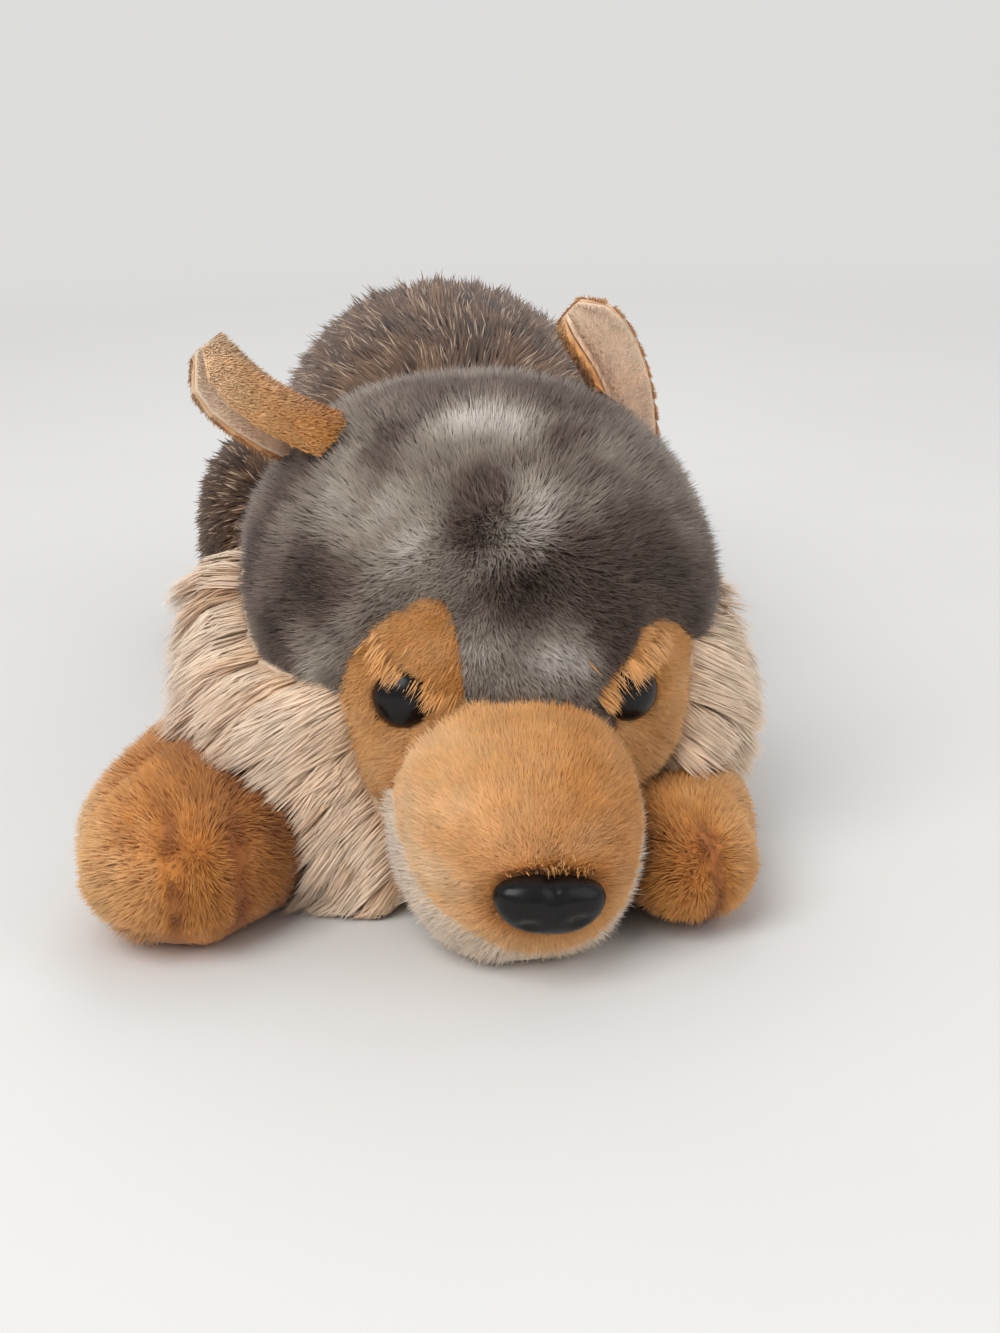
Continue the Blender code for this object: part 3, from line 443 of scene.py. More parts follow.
def mix(tree, kind, amount, a, b):
    """Two colours mixed. Each input is a socket, a colour or a number."""
    node = tree.nodes.new("ShaderNodeMix")
    node.data_type = "RGBA"
    node.blend_type = kind
    for name, value in (("Factor_Float", amount), ("A_Color", a), ("B_Color", b)):
        socket = next(found for found in node.inputs if found.identifier == name)
        if isinstance(value, bpy.types.NodeSocket):
            tree.links.new(value, socket)
        else:
            socket.default_value = (*value, 1) if hasattr(value, "__len__") else value
    return next(found for found in node.outputs if found.identifier == "Result_Color")


def new_material(name):
    """A material with an empty Principled surface, its tree and that surface."""
    material = bpy.data.materials.new(name)
    material.use_nodes = True
    tree = material.node_tree
    return material, tree, tree.nodes["Principled BSDF"]


def speckle(tree, size, detail=2.0):
    """Fine noise in the object's own space, with grains of about the given size."""
    where = tree.nodes.new("ShaderNodeTexCoord")
    node = add_node(tree, "ShaderNodeTexNoise", Scale=0.5 / size, Detail=detail)
    tree.links.new(where.outputs["Object"], node.inputs["Vector"])
    return node.outputs["Fac"]


def fur_material(name, shades, root, tip, root_depth=0.55, tip_share=0.3, ticked=None):
    """Hair that is darker at its foot and paler at its end. shades is a row of colours from the darkest
    tone to the lightest. ticked gives a share of the hairs ends of their own colour."""
    material, tree, surface = new_material(name)
    places = np.linspace(0, 1, len(shades))
    body = ramp(tree, read_value(tree, "tone"), list(zip(places, shades)))
    spread = ramp(tree, read_value(tree, "strand"), ((0, 0.84), (1, 1.10)))
    body = mix(tree, "MULTIPLY", 1.0, body, spread)
    grain = ramp(tree, speckle(tree, 3 * MM), ((0.3, 0.84), (0.7, 1.05)))
    body = mix(tree, "MULTIPLY", 1.0, body, grain)
    height = read_value(tree, "tip")
    if ticked:
        share, colour = ticked
        end = ramp(tree, height, ((0.5, 0), (0.85, 1)))
        some = ramp(tree, read_value(tree, "strand"), ((1 - share, 0), (1 - share + 0.05, 1)))
        body = mix(tree, "MIX", mix(tree, "MULTIPLY", 1.0, end, some), body, colour)
    foot = ramp(tree, height, ((0.0, 1), (root_depth, 0)))
    body = mix(tree, "MIX", foot, body, mix(tree, "MULTIPLY", 1.0, body, root))
    end = ramp(tree, height, ((0.55, 0), (1.0, tip_share)))
    body = mix(tree, "MIX", end, body, tip)
    tree.links.new(body, surface.inputs["Base Color"])
    surface.inputs["Roughness"].default_value = 0.78
    surface.inputs["Specular IOR Level"].default_value = 0.25
    surface.inputs["Sheen Weight"].default_value = 0.25
    surface.inputs["Sheen Roughness"].default_value = 0.5
    return material


def plain_material(name, dark, light, grain, roughness, bump, sheen=0.0, gloss=0.5):
    """A surface whose colour, roughness and bump vary with fine noise."""
    material, tree, surface = new_material(name)
    noise = speckle(tree, grain, detail=4.0)
    tree.links.new(ramp(tree, noise, ((0.3, dark), (0.7, light))), surface.inputs["Base Color"])
    spread = ramp(tree, noise, ((0.3, roughness * 0.9), (0.7, roughness * 1.12)))
    tree.links.new(spread, surface.inputs["Roughness"])
    relief = add_node(tree, "ShaderNodeBump", Strength=bump, Distance=grain * 0.3)
    tree.links.new(noise, relief.inputs["Height"])
    tree.links.new(relief.outputs["Normal"], surface.inputs["Normal"])
    surface.inputs["Sheen Weight"].default_value = sheen
    surface.inputs["Specular IOR Level"].default_value = gloss
    return material


CROWN_FUR = fur_material(
    "crown_fur",
    ((0.058, 0.035, 0.024), (0.155, 0.108, 0.082), (0.43, 0.365, 0.295), (0.80, 0.73, 0.66)),
    root=(0.72, 0.68, 0.66), tip=(0.62, 0.55, 0.48), tip_share=0.15)
TAN_FUR = fur_material(
    "tan_fur",
    ((0.34, 0.11, 0.025), (0.72, 0.30, 0.065), (0.92, 0.53, 0.23), (0.97, 0.77, 0.53)),
    root=(0.72, 0.54, 0.42), tip=(0.97, 0.70, 0.42), tip_share=0.15)
CREAM_FUR = fur_material(
    "cream_fur",
    ((0.66, 0.32, 0.12), (0.88, 0.60, 0.38), (0.94, 0.73, 0.53), (0.97, 0.83, 0.68)),
    root=(0.90, 0.78, 0.68), tip=(0.98, 0.86, 0.74), tip_share=0.3)
BACK_FUR = fur_material(
    "back_fur",
    ((0.035, 0.018, 0.011), (0.12, 0.062, 0.034), (0.25, 0.138, 0.076), (0.62, 0.45, 0.31)),
    root=(0.40, 0.31, 0.26), tip=(0.33, 0.21, 0.13), tip_share=0.1, ticked=(0.15, (0.53, 0.38, 0.26)))
EAR_SUEDE = fur_material(
    "ear_suede",
    ((0.50, 0.27, 0.16), (0.92, 0.62, 0.41), (0.98, 0.80, 0.62)),
    root=(0.9, 0.85, 0.8), tip=(0.97, 0.78, 0.60), tip_share=0.2)
BLACK_PLASTIC = plain_material(
    "black_plastic", (0.004, 0.003, 0.003), (0.007, 0.006, 0.006), 1.2 * MM, 0.26, 0.03, gloss=0.28)
WASHER_PLASTIC = plain_material("washer_plastic", (0.70, 0.68, 0.62), (0.78, 0.76, 0.71), 2 * MM, 0.5, 0.05)
STUFFING = plain_material("stuffing", (0.72, 0.70, 0.65), (0.88, 0.86, 0.81), 6 * MM, 0.95, 0.6, sheen=0.3)


# Marks on the crown, as places in millimetres, radii and how much lighter or darker the plush is there
CROWN_MARKS = (
    ((-3, -161, 116), 8, 0.60),
    ((8, -163, 114), 7, 0.60),
    ((-36, -167, 98), 8, 0.24),
    ((-27, -173, 101), 8, 0.18),
    ((-29, -177, 94), 8, 0.14),
    ((-18, -179, 99), 7, 0.16),
    ((-13, -185, 88), 8, 0.22),
    ((-23, -182, 88), 8, 0.14),
    ((10, -179, 100), 5, 0.60),
    ((6, -184, 94), 6, 0.50),
    ((20, -178, 98), 6, 0.20),
    ((-5, -188, 68), 7, 0.30),
    ((9, -188, 65), 7, 0.45),
    ((18, -186, 63), 5, 0.45),
    ((-41, -176, 66), 6, 0.20),
    ((29, -166, 107), 6, 0.15),
    ((52, -151, 93), 6, 0.30),
    ((-42, -172, 82), 8, -0.85),
    ((-52, -162, 69), 8, -0.65),
    ((-54, -145, 84), 9, -0.60),
    ((-46, -148, 99), 8, -0.35),
    ((-21, -158, 113), 5, -0.40),
    ((-25, -165, 108), 5, -0.35),
    ((-1, -178, 102), 5, -0.55),
    ((-7, -183, 95), 5, -0.55),
    ((16, -166, 111), 6, -0.55),
    ((23, -162, 112), 4, -0.35),
    ((3, -187, 79), 6, -0.55),
    ((9, -186, 84), 6, -0.40),
    ((20, -185, 86), 7, -0.35),
    ((34, -179, 86), 9, -0.40),
    ((27, -183, 71), 8, -0.45),
    ((48, -170, 68), 10, -0.40),
    ((42, -176, 80), 8, -0.35),
    ((27, -185, 56), 6, -0.45),
    ((-9, -141, 120), 9, -0.40),
    ((13, -144, 119), 9, -0.40),
    ((29, -147, 115), 9, -0.25),
)


def crown_tone(points, lock):
    tone = 0.49 + 0.12 * waves(points, 6 * MM, 3) + 0.06 * (lock - 0.5)
    for place, radius, amount in CROWN_MARKS:
        tone = tone + amount * blot(points, place, radius)
    return np.clip(tone, 0, 1)


def drift(points, size, seed):
    """Smooth random directions, as in plush that hands have brushed."""
    return np.stack([waves(points, size, seed + k) for k in range(3)], 1)


def crown_lay(points):
    """Back over the top of the head and out to its sides, and down over the forehead."""
    forehead = np.clip((FOREHEAD - points[:, 1:2]) / (16 * MM), 0, 1)
    brushed = drift(points, 16 * MM, 5) * 0.6 * (1 - 0.7 * forehead)
    sideways = np.clip((points - CROWN_MIDDLE) * (1, 0, 0) / (16 * MM), -1, 1) * 0.7
    return sideways + brushed + BACK * (1 - forehead) + DOWN * (0.3 + 0.9 * forehead)


def coat(node, filling, material, slot, tone, backing=BACKING_REACH, root_share=0.3, fill=0.8, walls=False,
         **hair):
    """Dresses one panel: its cloth, which stands for the solid, and the pile that goes with it. With walls,
    the thick edges of the pile are furred too."""
    panel = Panel(node, filling, backing, root_share, walls)
    cloth = make_cloth(panel, tone)
    cloth.data.materials.append(material)
    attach(cloth, "root")
    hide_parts(node)
    add_pile(panel, cloth, material, slot, tone=tone, **hair)
    return panel, cloth


def add_pile(panel, cloth, material, slot, **hair):
    """Hair on one panel, which goes where its cloth goes."""
    pile = grow(panel, **hair)
    pile.data.materials.append(material)
    pile.parent = cloth


def dress_crown():
    """Mottled grey plush, with a fringe that hangs over the inner half of the left eye."""
    panel, cloth = coat("crown_panel", "head_stuffing", CROWN_FUR, "crown_fur", crown_tone, walls=True,
                        hairs=112000, width=0.41 * MM, lay=crown_lay, reach=1.9 * MM, stray=0.16, seed=11,
                        locks=9000, pull=0.25)
    add_pile(panel, cloth, TAN_FUR, "tan_fur", tone=brow_tone, hairs=2000, seed=12, **eye_fringe("left"))


def muzzle_lay(points):
    """From the nose back over the muzzle."""
    return points - NOSE + UP * 0.004


def muzzle_tone(points, lock):
    # Painted shadow: the muzzle is darker in a ring round the nose.
    nose_shade = np.exp(-(np.linalg.norm((points - NOSE) / (14, 11, 8.5), axis=1) / MM) ** 6)
    # Painted shade: the muzzle is darker towards its top.
    high = np.clip((points[:, 2] - NOSE[2]) / MM / 26, 0, 1)
    tone = 0.61 + 0.08 * waves(points, 8 * MM, 21) + 0.05 * (lock - 0.5) - 0.14 * high
    # Painted shade: the muzzle is darker towards the animal's left side (+X).
    tone = tone - 0.008 * (points[:, 0] - NOSE[0]) / MM - 0.45 * nose_shade
    return np.clip(tone, 0, 1)


CHIN_SHADOW = (4, -216, 8)


def chin_tone(points, lock):
    under_nose = blot(points, CHIN_SHADOW, 7)
    return np.clip(0.88 + 0.12 * waves(points, 9 * MM, 22) - 0.45 * under_nose, 0, 1)


def dress_muzzle():
    """Short tan plush, with a few hairs over the top of the nose, and the cream chin under the lip line."""
    def nose_rim(points):
        spot = (points - NOSE) / MM
        near = np.exp(-(np.linalg.norm(spot / (11, 11, 8), axis=1)) ** 6)
        return near * np.clip((spot[:, 2] - 4) / 2, 0, 1)

    panel, cloth = coat("muzzle_top", "head_stuffing", TAN_FUR, "tan_fur", muzzle_tone,
                        hairs=70000, width=0.35 * MM, lay=muzzle_lay, reach=2.4 * MM, stray=0.16, seed=21)
    add_pile(panel, cloth, TAN_FUR, "tan_fur", tone=muzzle_tone, hairs=700, width=0.26 * MM,
             lay=lambda points: NOSE + FORWARD * 0.004 - points, reach=1.3 * MM, lift=0.3 * MM, stray=0.12,
             seed=23, curved=True, crowding=nose_rim, name="_rim")
    coat("chin_panel", "head_stuffing", CREAM_FUR, "cream_fur", chin_tone, walls=True,
         hairs=20000, width=0.37 * MM, lay=muzzle_lay, reach=2.2 * MM, stray=0.18, seed=22)


BROW_SIZE = 8.6 * MM
BROW_LIFT = 2.3 * MM
BROW_START = 3.5 * MM
BROW_STOP = 1.5 * MM
BROW_REACH = (1.5 * MM, 6.5 * MM)


def eye_fringe(side):
    """Hair that hangs over the inner and upper half of an eye, and ends at the eye's middle."""
    eye, out = EYES[side], OUTWARD[side]
    inner = unit(UP - 0.7 * out)

    def crowding(points):
        near = np.exp(-(np.linalg.norm(points - eye, axis=1) / BROW_SIZE) ** 6)
        return near * np.clip(((points - eye) @ inner - BROW_START) / (1.5 * MM), 0, 1)

    def reach(points):
        return np.clip((points - eye) @ inner - BROW_STOP, *BROW_REACH)

    return dict(width=0.36 * MM, lay=lambda points: np.tile(-inner, (len(points), 1)), reach=reach,
                lift=BROW_LIFT, stray=0.06, curved=True, crowding=crowding, name="_brow")


def brow_tone(points, lock):
    return np.clip(0.48 + 0.10 * waves(points, 7 * MM, 31) + 0.1 * (lock - 0.5), 0, 1)


def dress_face(side):
    """The tan patch round one eye, whose brow hangs over the inner and upper half of the eye."""
    eye = EYES[side]
    out = OUTWARD[side]

    def lay(points):
        combed = np.tile(out * 0.8 + BACK * 0.3 + DOWN * 0.5, (len(points), 1))
        return combed + drift(points, 14 * MM, 35) * 0.3

    def tone(points, lock):
        high = np.clip((points[:, 2] - eye[2]) / (14 * MM), -1, 1)
        return np.clip(0.46 + 0.10 * waves(points, 7 * MM, 31) - 0.06 * high + 0.05 * (lock - 0.5), 0, 1)

    panel, cloth = coat("face_patch_" + side, "head_stuffing", TAN_FUR, "tan_fur", tone, walls=True,
                        hairs=30000, width=0.38 * MM, lay=lay, reach=2.0 * MM, stray=0.17, seed=31)
    add_pile(panel, cloth, TAN_FUR, "tan_fur", tone=brow_tone, hairs=5500, seed=32, **eye_fringe(side))


def dress_cheek(side):
    """Cream plush that grows into the long combed ruff at the outer edge of the face."""
    out = OUTWARD[side]

    def lay(points):
        radial = unit((points - FACE) * (1, 0, 1))
        neck = np.clip((points[:, 1:2] - NECK) / (20 * MM), 0, 1)
        return radial + DOWN * 0.8 + BACK * (0.25 + 1.2 * neck) + out * 0.1

    def rise(points):
        return 1 - 0.5 * np.clip((24 * MM - points[:, 2]) / (18 * MM), 0, 1)

    def edge(points):
        away = np.linalg.norm((points - FACE)[:, [0, 2]], axis=1)
        return np.clip((away - 26 * MM) / (22 * MM), 0, 1)

    def reach(points):
        return (4 + 14 * edge(points)) * MM

    def tone(points, lock):
        inner = np.exp(-(np.linalg.norm((points - EYES[side] + UP * 0.012) / (10, 14, 16), axis=1) / MM) ** 2)
        streak = np.where(lock < 0.14, -0.24, 0.0)
        return np.clip(0.64 + 0.10 * waves(points, 10 * MM, 41) - 0.55 * inner + streak, 0, 1)

    coat("cheek_" + side, "head_stuffing", CREAM_FUR, "cream_fur", tone, walls=True,
         hairs=43000, width=0.52 * MM, lay=lay, reach=reach, rise=rise, stray=0.06, seed=41, curved=True,
         locks=560, pull=0.62)


SPINE = 15 * MM


def back_lay(points):
    """From the head to the tail, and down over the flanks."""
    side = (points - middle("body_stuffing")) * (1, 0, 0) * 8
    return BACK + side * 0.5 + DOWN * 0.35 + drift(points, 30 * MM, 55) * 0.25


def back_tone(points, lock):
    band = np.exp(-((points[:, 1] - PALE_BAND) / (14 * MM)) ** 2)
    spine = np.exp(-((points[:, 0] - SPINE) / (16 * MM)) ** 2)
    tone = 0.38 + 0.20 * waves(points, 11 * MM, 51) + 0.06 * band - 0.10 * spine + 0.35 * (lock - 0.5)
    return np.clip(tone, 0, 1)


def flank_tone(points, lock):
    return np.clip(0.26 + 0.14 * waves(points, 12 * MM, 52) + 0.3 * (lock - 0.5), 0, 1)


def cream_tone(points, lock):
    return np.clip(0.50 + 0.12 * waves(points, 10 * MM, 53) + 0.1 * (lock - 0.5), 0, 1)


def dress_neck(panel, cloth, material, slot, tone, hairs):
    """Hair along the front edge of the body, which covers the seam between it and the head."""
    start = panel.points[:, 1].min()

    def crowding(points):
        return np.exp(-((points[:, 1] - start) / (9 * MM)) ** 4)

    add_pile(panel, cloth, material, slot, tone=tone, hairs=hairs, width=0.7 * MM,
             lay=lambda points: np.tile(FORWARD, (len(points), 1)), reach=18 * MM, lift=2 * MM, stray=0.09,
             seed=56, curved=True, crowding=crowding, name="_neck")


def dress_body():
    """The long brown hair of the back, and the cream belly."""
    panel, cloth = coat("back_panel", "body_stuffing", BACK_FUR, "back_fur", back_tone,
                        backing=BODY_BACKING_REACH, hairs=55000, width=0.68 * MM, lay=back_lay,
                        reach=13 * MM, lift=0.8 * MM, stray=0.11, seed=51, curved=True, locks=1900, pull=0.55)
    dress_neck(panel, cloth, BACK_FUR, "back_fur", back_tone, 8000)
    panel, cloth = coat("belly_panel", "body_stuffing", CREAM_FUR, "cream_fur", cream_tone,
                        backing=BODY_BACKING_REACH, hairs=14000, width=0.7 * MM, lay=back_lay,
                        reach=5 * MM, stray=0.15, seed=52)
    dress_neck(panel, cloth, CREAM_FUR, "cream_fur", cream_tone, 2500)


# Places of the stitched lines between the toes, in millimetres across from the middle of the leg
TOE_CREASES = {"right": (-11, 2), "left": (-2, 11)}
TOE_CREASE_WIDTH = 1.9
TOE_LENGTH = 20 * MM
PAW_SHADE_FROM = 24 * MM
PAW_TONES = {"right": 0.27, "left": 0.40}


def dress_front_leg(side):
    """A tan front leg, rusty on its inner side, with its hair lying down from the ridge to the sides."""
    out = OUTWARD[side]
    paw = middle(f"front_leg_{side}_cover")
    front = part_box(f"front_leg_{side}_cover")[0][1]
    base = PAW_TONES[side]

    def lay(points):
        across = (points - paw) * (1, 0, 0) / (20 * MM)
        return across + DOWN * 0.5 + BACK * 0.35 + drift(points, 16 * MM, 65) * 0.25

    def crease(points):
        toes = np.clip((front + TOE_LENGTH - points[:, 1]) / (8 * MM), 0, 1)
        along = (points[:, 0] - paw[0]) / MM
        return toes * sum(np.exp(-((along - place) / TOE_CREASE_WIDTH) ** 2) for place in TOE_CREASES[side])

    def tone(points, lock):
        outer = ((points - paw) @ out) / (30 * MM)
        # Painted shade: the leg is darker towards its top, above PAW_SHADE_FROM.
        high = np.clip((points[:, 2] - PAW_SHADE_FROM) / (14 * MM), 0, 1)
        tone = base + 0.40 * outer - 0.22 * high + 0.08 * waves(points, 9 * MM, 61) + 0.06 * (lock - 0.5)
        # Painted shade: the plush is darker along the toe creases.
        return np.clip(tone - 0.42 * crease(points), 0, 1)

    def rise(points):
        return 1 - 0.85 * crease(points)

    for part, hairs in (("cover", 36000), ("sole", 6000)):
        coat(f"front_leg_{side}_{part}", f"front_leg_{side}_stuffing", TAN_FUR, "tan_fur", tone,
             hairs=hairs, width=0.42 * MM, lay=lay, reach=1.9 * MM, rise=rise, stray=0.11, seed=61,
             locks=hairs // 12, pull=0.2)


def dress_hind_leg(side):
    """The dark haunch and the tan foot under it."""
    haunch = BACK * 0.6 + DOWN * 0.5
    coat("thigh_" + side, "thigh_stuffing_" + side, BACK_FUR, "back_fur", flank_tone,
         backing=BODY_BACKING_REACH, hairs=13500, width=0.78 * MM,
         lay=lambda points: np.tile(haunch, (len(points), 1)), reach=6 * MM, stray=0.13, seed=71,
         curved=True, locks=1400, pull=0.5)

    def tone(points, lock):
        return np.clip(0.48 + 0.14 * waves(points, 9 * MM, 72) + 0.08 * (lock - 0.5), 0, 1)

    for part, hairs in (("cover", 13000), ("sole", 2500)):
        coat(f"hind_foot_{part}_{side}", "hind_foot_stuffing_" + side, TAN_FUR, "tan_fur", tone,
             hairs=hairs, width=0.5 * MM,
             lay=lambda points: np.tile(FORWARD + DOWN * 0.3, (len(points), 1)),
             reach=2.4 * MM, stray=0.17, seed=73, locks=hairs // 14, pull=0.35)


def dress_tail():
    """A bushy tail, brown above and cream below, with its hair lying towards the end."""
    def lay(points):
        return BACK + (points - middle("tail_stuffing")) * (4, 0, 4)

    coat("tail_top", "tail_stuffing", BACK_FUR, "back_fur", back_tone,
         hairs=19000, width=0.7 * MM, lay=lay, reach=9 * MM, stray=0.12, seed=81,
         curved=True, locks=1300, pull=0.55)
    coat("tail_underside", "tail_stuffing", CREAM_FUR, "cream_fur", cream_tone,
         hairs=6000, width=0.65 * MM, lay=lay, reach=5 * MM, stray=0.14, seed=82, curved=True,
         locks=500, pull=0.5)


EAR_ROOT_OUT = 20 * MM
EAR_ROOT_UP = 40 * MM


def dress_ear(side):
    """A curled ear with a furry back and a lining of short brushed suede."""
    back, lining = "ear_back_" + side, "ear_lining_" + side
    root = HEAD + OUTWARD[side] * EAR_ROOT_OUT + UP * EAR_ROOT_UP

    def lay(points):
        return root - points

    def tone(points, lock):
        end = np.linalg.norm(points - root, axis=1) / MM
        return np.clip(0.70 + 0.06 * waves(points, 6 * MM, 91) + 0.016 * (end - 40), 0, 1)

    coat(back, lining, TAN_FUR, "tan_fur", tone, backing=EAR_BACKING_REACH, root_share=0.4, fill=0.3,
         walls=True, hairs=18000, width=0.42 * MM, lay=lay, reach=1.1 * MM, stray=0.14, seed=91)
    coat(lining, back, EAR_SUEDE, "ear_suede", tone, backing=EAR_BACKING_REACH, root_share=0.5, fill=0.3,
         walls=True, hairs=9000, width=0.3 * MM, lay=lay, reach=0.9 * MM, stray=0.3, seed=92)


# Moulded parts

EYE_ROUND = 64
EYE_DOME_ROWS = 14
PLASTIC_CREASE = math.radians(40)


def make_eye(side):
    """A polished safety eye: a low dome with a rounded rim, and its shank."""
    points, _ = welded("eye_" + side)
    centre = points.mean(0)
    _, _, axes = np.linalg.svd(points - centre)
    spans = [np.ptp(points @ axis) for axis in axes]
    pairs = [(abs(spans[(k + 1) % 3] - spans[(k + 2) % 3]), k) for k in range(3)]
    axis = axes[min(pairs)[1]]
    axis = axis if axis @ FORWARD > 0 else -axis
    height = (points - centre) @ axis
    off = np.linalg.norm(points - centre - height[:, None] * axis, axis=1)
    radius = off.max()
    front = height.max()
    rim = height[off > 0.97 * radius].max()
    foot = height.min()
    shank = off[height < foot + 0.5 * MM].max()
    base = height[off > 0.9 * radius].min()
    dome = [(radius * math.cos(a), rim + (front - rim) * math.sin(a))
            for a in np.linspace(0, math.pi / 2, EYE_DOME_ROWS)]
    edge = [(radius * 0.93, base), (radius * 0.985, base + 0.25 * (rim - base))]
    profile = [(0, foot), (shank, foot), (shank, base)] + edge + dome
    item = lathe("eye_" + side + "_dome", profile, centre, axis)
    finish_plastic(item, "eye_" + side)


def lathe(name, profile, centre, axis):
    """A closed turned form. profile is (radius, height) pairs from one end of the axis to the other."""
    across = unit(np.cross(axis, UP))
    beside = np.cross(axis, across)
    angles = np.linspace(0, 2 * math.pi, EYE_ROUND, endpoint=False)
    ring = np.cos(angles)[:, None] * across + np.sin(angles)[:, None] * beside
    inner = profile[1:-1]
    points = [centre + axis * profile[0][1]]
    points += [centre + axis * high + ring[k] * wide for wide, high in inner for k in range(EYE_ROUND)]
    points.append(centre + axis * profile[-1][1])
    last = len(points) - 1
    faces = []
    for k in range(EYE_ROUND):
        after = (k + 1) % EYE_ROUND
        faces.append((0, 1 + after, 1 + k))
        for row in range(len(inner) - 1):
            a, b = 1 + row * EYE_ROUND + k, 1 + row * EYE_ROUND + after
            faces += [(a, b, b + EYE_ROUND), (a, b + EYE_ROUND, a + EYE_ROUND)]
        top = 1 + (len(inner) - 1) * EYE_ROUND
        faces.append((top + k, top + after, last))
    return new_object(name, np.array(points), faces)


def finish_plastic(item, node):
    """Gives a moulded part its black plastic, in place of its solid."""
    item.data.materials.append(BLACK_PLASTIC)
    item.data.set_sharp_from_angle(angle=PLASTIC_CREASE)
    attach(item, "root")
    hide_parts(node)


# Nostrils, as places across and below the middle of the nose and spreads along X, Y and Z in millimetres
NOSTRIL_PLACES = ((-5.4, 3.0), (5.4, 3.0))
NOSTRIL_SPREAD = (2.4, 100, 1.3)
NOSTRIL_DEPTH = 1.1 * MM
NOSE_GROOVE = 0.9 * MM
NOSE_GROOVE_WIDTH = 1.6 * MM


def make_nose():
    """The moulded nose, rounded, with two lobes on top, a groove between them and two nostrils."""
    points, faces = welded("nose")
    item = new_object("nose_shell", points, faces)
    smooth = item.modifiers.new("rounded", "SUBSURF")
    smooth.levels = smooth.render_levels = 2
    graph = bpy.context.evaluated_depsgraph_get()
    item.data = bpy.data.meshes.new_from_object(item.evaluated_get(graph))
    item.modifiers.clear()
    mesh = item.data
    place = np.empty(len(mesh.vertices) * 3)
    mesh.vertices.foreach_get("co", place)
    place = place.reshape(-1, 3)
    low, high = points.min(0), points.max(0)
    local = place - (low + high) / 2
    front = np.clip((high[1] - place[:, 1]) / (high[1] - low[1]) * 2 - 0.7, 0, 1)
    groove = np.exp(-(local[:, 0] / NOSE_GROOVE_WIDTH) ** 2) * np.clip(local[:, 2] / (3 * MM), 0, 1)
    place[:, 2] -= NOSE_GROOVE * groove * front
    for across, drop in NOSTRIL_PLACES:
        away = (local - np.array((across, 0, -drop)) * MM) / np.array(NOSTRIL_SPREAD) / MM
        place[:, 1] += NOSTRIL_DEPTH * np.exp(-(away ** 2).sum(1)) * front
    mesh.vertices.foreach_set("co", place.astype(np.float32).ravel())
    mesh.update()
    finish_plastic(item, "nose")


def finish_hidden():
    """Procedural finishes for the nodes that stay inside, which are shown as they are."""
    for name, node in frame["nodes"].items():
        if "washer" in name or "stuffing" in name:
            node.data.materials.clear()
            node.data.materials.append(WASHER_PLASTIC if "washer" in name else STUFFING)


# Stage

STAGE_RADIUS = 2.4
COVE_RADIUS = 0.9
COVE_STEPS = 20
STAGE_ROUND = 96
FLOOR_COLOUR = (0.78, 0.77, 0.75)
WORLD_COLOUR = (0.93, 0.94, 0.96)
WORLD_STRENGTH = 0.58
BACKDROP_COLOUR = (0.72, 0.715, 0.71)
BACKDROP_NEAR = 0.3
BACKDROP_FAR = 1.3


def floor_material():
    """A plain pale surface, which the camera sees in one even tone far from the toy."""
    material, tree, surface = new_material("floor")
    noise = ramp(tree, speckle(tree, 60 * MM), ((0.3, 0.98), (0.7, 1.0)))
    tree.links.new(mix(tree, "MULTIPLY", 1.0, FLOOR_COLOUR, noise), surface.inputs["Base Color"])
    surface.inputs["Roughness"].default_value = 0.8
    where = tree.nodes.new("ShaderNodeTexCoord")
    away = tree.nodes.new("ShaderNodeVectorMath")
    away.operation = "LENGTH"
    tree.links.new(where.outputs["Object"], away.inputs[0])
    share = add_node(tree, "ShaderNodeMapRange", From_Min=BACKDROP_NEAR, From_Max=BACKDROP_FAR)
    share.interpolation_type = "SMOOTHSTEP"
    tree.links.new(away.outputs["Value"], share.inputs["Value"])
    path = tree.nodes.new("ShaderNodeLightPath")
    seen = tree.nodes.new("ShaderNodeMath")
    seen.operation = "MULTIPLY"
    tree.links.new(path.outputs["Is Camera Ray"], seen.inputs[0])
    tree.links.new(share.outputs["Result"], seen.inputs[1])
    even = add_node(tree, "ShaderNodeEmission", Color=(*BACKDROP_COLOUR, 1), Strength=1.0)
    both = tree.nodes.new("ShaderNodeMixShader")
    tree.links.new(seen.outputs[0], both.inputs[0])
    tree.links.new(surface.outputs[0], both.inputs[1])
    tree.links.new(even.outputs[0], both.inputs[2])
    tree.links.new(both.outputs[0], tree.nodes["Material Output"].inputs["Surface"])
    return material


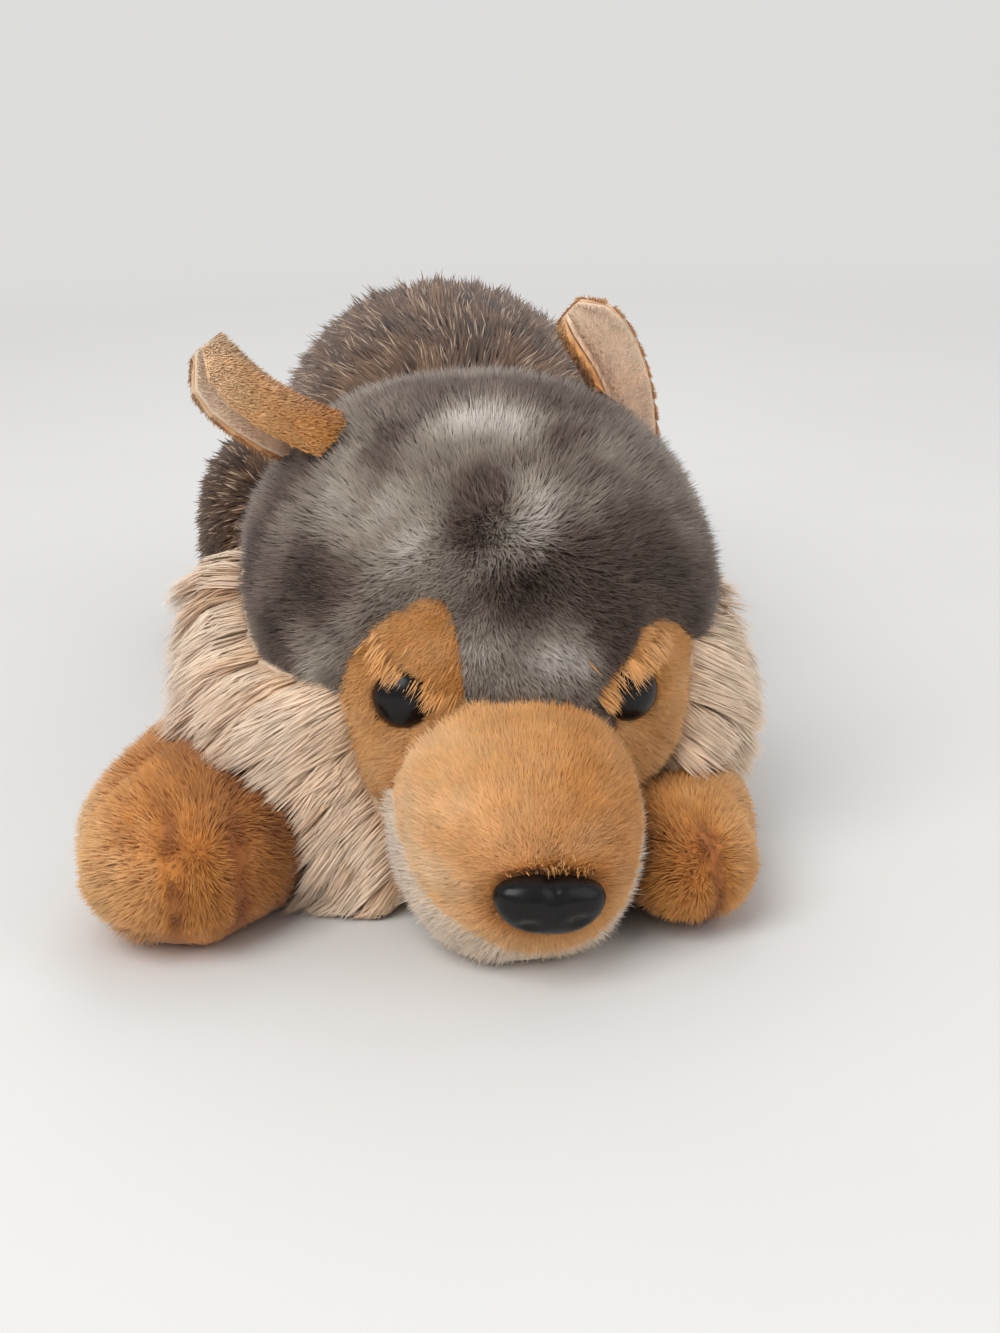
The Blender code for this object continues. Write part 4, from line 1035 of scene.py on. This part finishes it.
def make_stage():
    """A round pale floor whose rim sweeps up into a low pale wall on every side."""
    turns = np.linspace(0, math.pi / 2, COVE_STEPS)
    outline = [(0.001, 0.0)] + [(STAGE_RADIUS + COVE_RADIUS * math.sin(a), COVE_RADIUS * (1 - math.cos(a)))
                                for a in turns]
    angles = np.linspace(0, 2 * math.pi, STAGE_ROUND, endpoint=False)
    corners = np.array([(r * math.cos(a), r * math.sin(a), z) for r, z in outline for a in angles])
    first = np.arange(STAGE_ROUND)
    after = (first + 1) % STAGE_ROUND
    strips = [np.stack((first, after, after + STAGE_ROUND, first + STAGE_ROUND), 1) + row * STAGE_ROUND
              for row in range(len(outline) - 1)]
    floor = new_object("floor", corners, np.concatenate(strips))
    floor.data.materials.append(floor_material())
    world = bpy.data.worlds.new("studio")
    world.use_nodes = True
    tree = world.node_tree
    light = tree.nodes["Background"]
    light.inputs["Color"].default_value = (*WORLD_COLOUR, 1)
    light.inputs["Strength"].default_value = WORLD_STRENGTH
    seen = add_node(tree, "ShaderNodeBackground", Color=(*BACKDROP_COLOUR, 1), Strength=1.0)
    path = tree.nodes.new("ShaderNodeLightPath")
    both = tree.nodes.new("ShaderNodeMixShader")
    tree.links.new(path.outputs["Is Camera Ray"], both.inputs[0])
    tree.links.new(light.outputs[0], both.inputs[1])
    tree.links.new(seen.outputs[0], both.inputs[2])
    tree.links.new(both.outputs[0], tree.nodes["World Output"].inputs["Surface"])
    bpy.context.scene.world = world


def add_lamp(name, place, aim, size, power):
    """A large soft area lamp that points at a place."""
    lamp = bpy.data.objects.new(name, bpy.data.lights.new(name, "AREA"))
    lamp.data.size = size
    lamp.data.energy = power
    lamp.location = place
    lamp.rotation_mode = "QUATERNION"
    lamp.rotation_quaternion = (Vector(aim) - Vector(place)).to_track_quat("-Z", "Y")
    bpy.context.scene.collection.objects.link(lamp)


def make_lights():
    """A soft key from the left of the picture, a weak fill from its right and a rim light from behind."""
    middle_of_toy = (0.0, -0.05, 0.05)
    add_lamp("key", (-0.55, -0.75, 0.95), middle_of_toy, 0.8, 9)
    add_lamp("fill", (0.9, -0.6, 0.6), middle_of_toy, 0.9, 2)
    add_lamp("rim", (0.1, 0.8, 1.0), middle_of_toy, 0.8, 4)


def keep_only_frame():
    """Takes away anything that the empty file brought along."""
    kept = set(frame["nodes"].values()) | set(frame["bodies"].values())
    for item in list(bpy.data.objects):
        if item not in kept:
            bpy.data.objects.remove(item)


keep_only_frame()
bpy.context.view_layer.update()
bpy.context.scene.view_settings.view_transform = "Standard"
make_camera()
make_stage()
make_lights()
dress_crown()
dress_muzzle()
dress_body()
dress_tail()
for side in ("right", "left"):
    dress_face(side)
    dress_cheek(side)
    dress_ear(side)
    dress_front_leg(side)
    dress_hind_leg(side)
    make_eye(side)
make_nose()
finish_hidden()
bpy.context.view_layer.update()
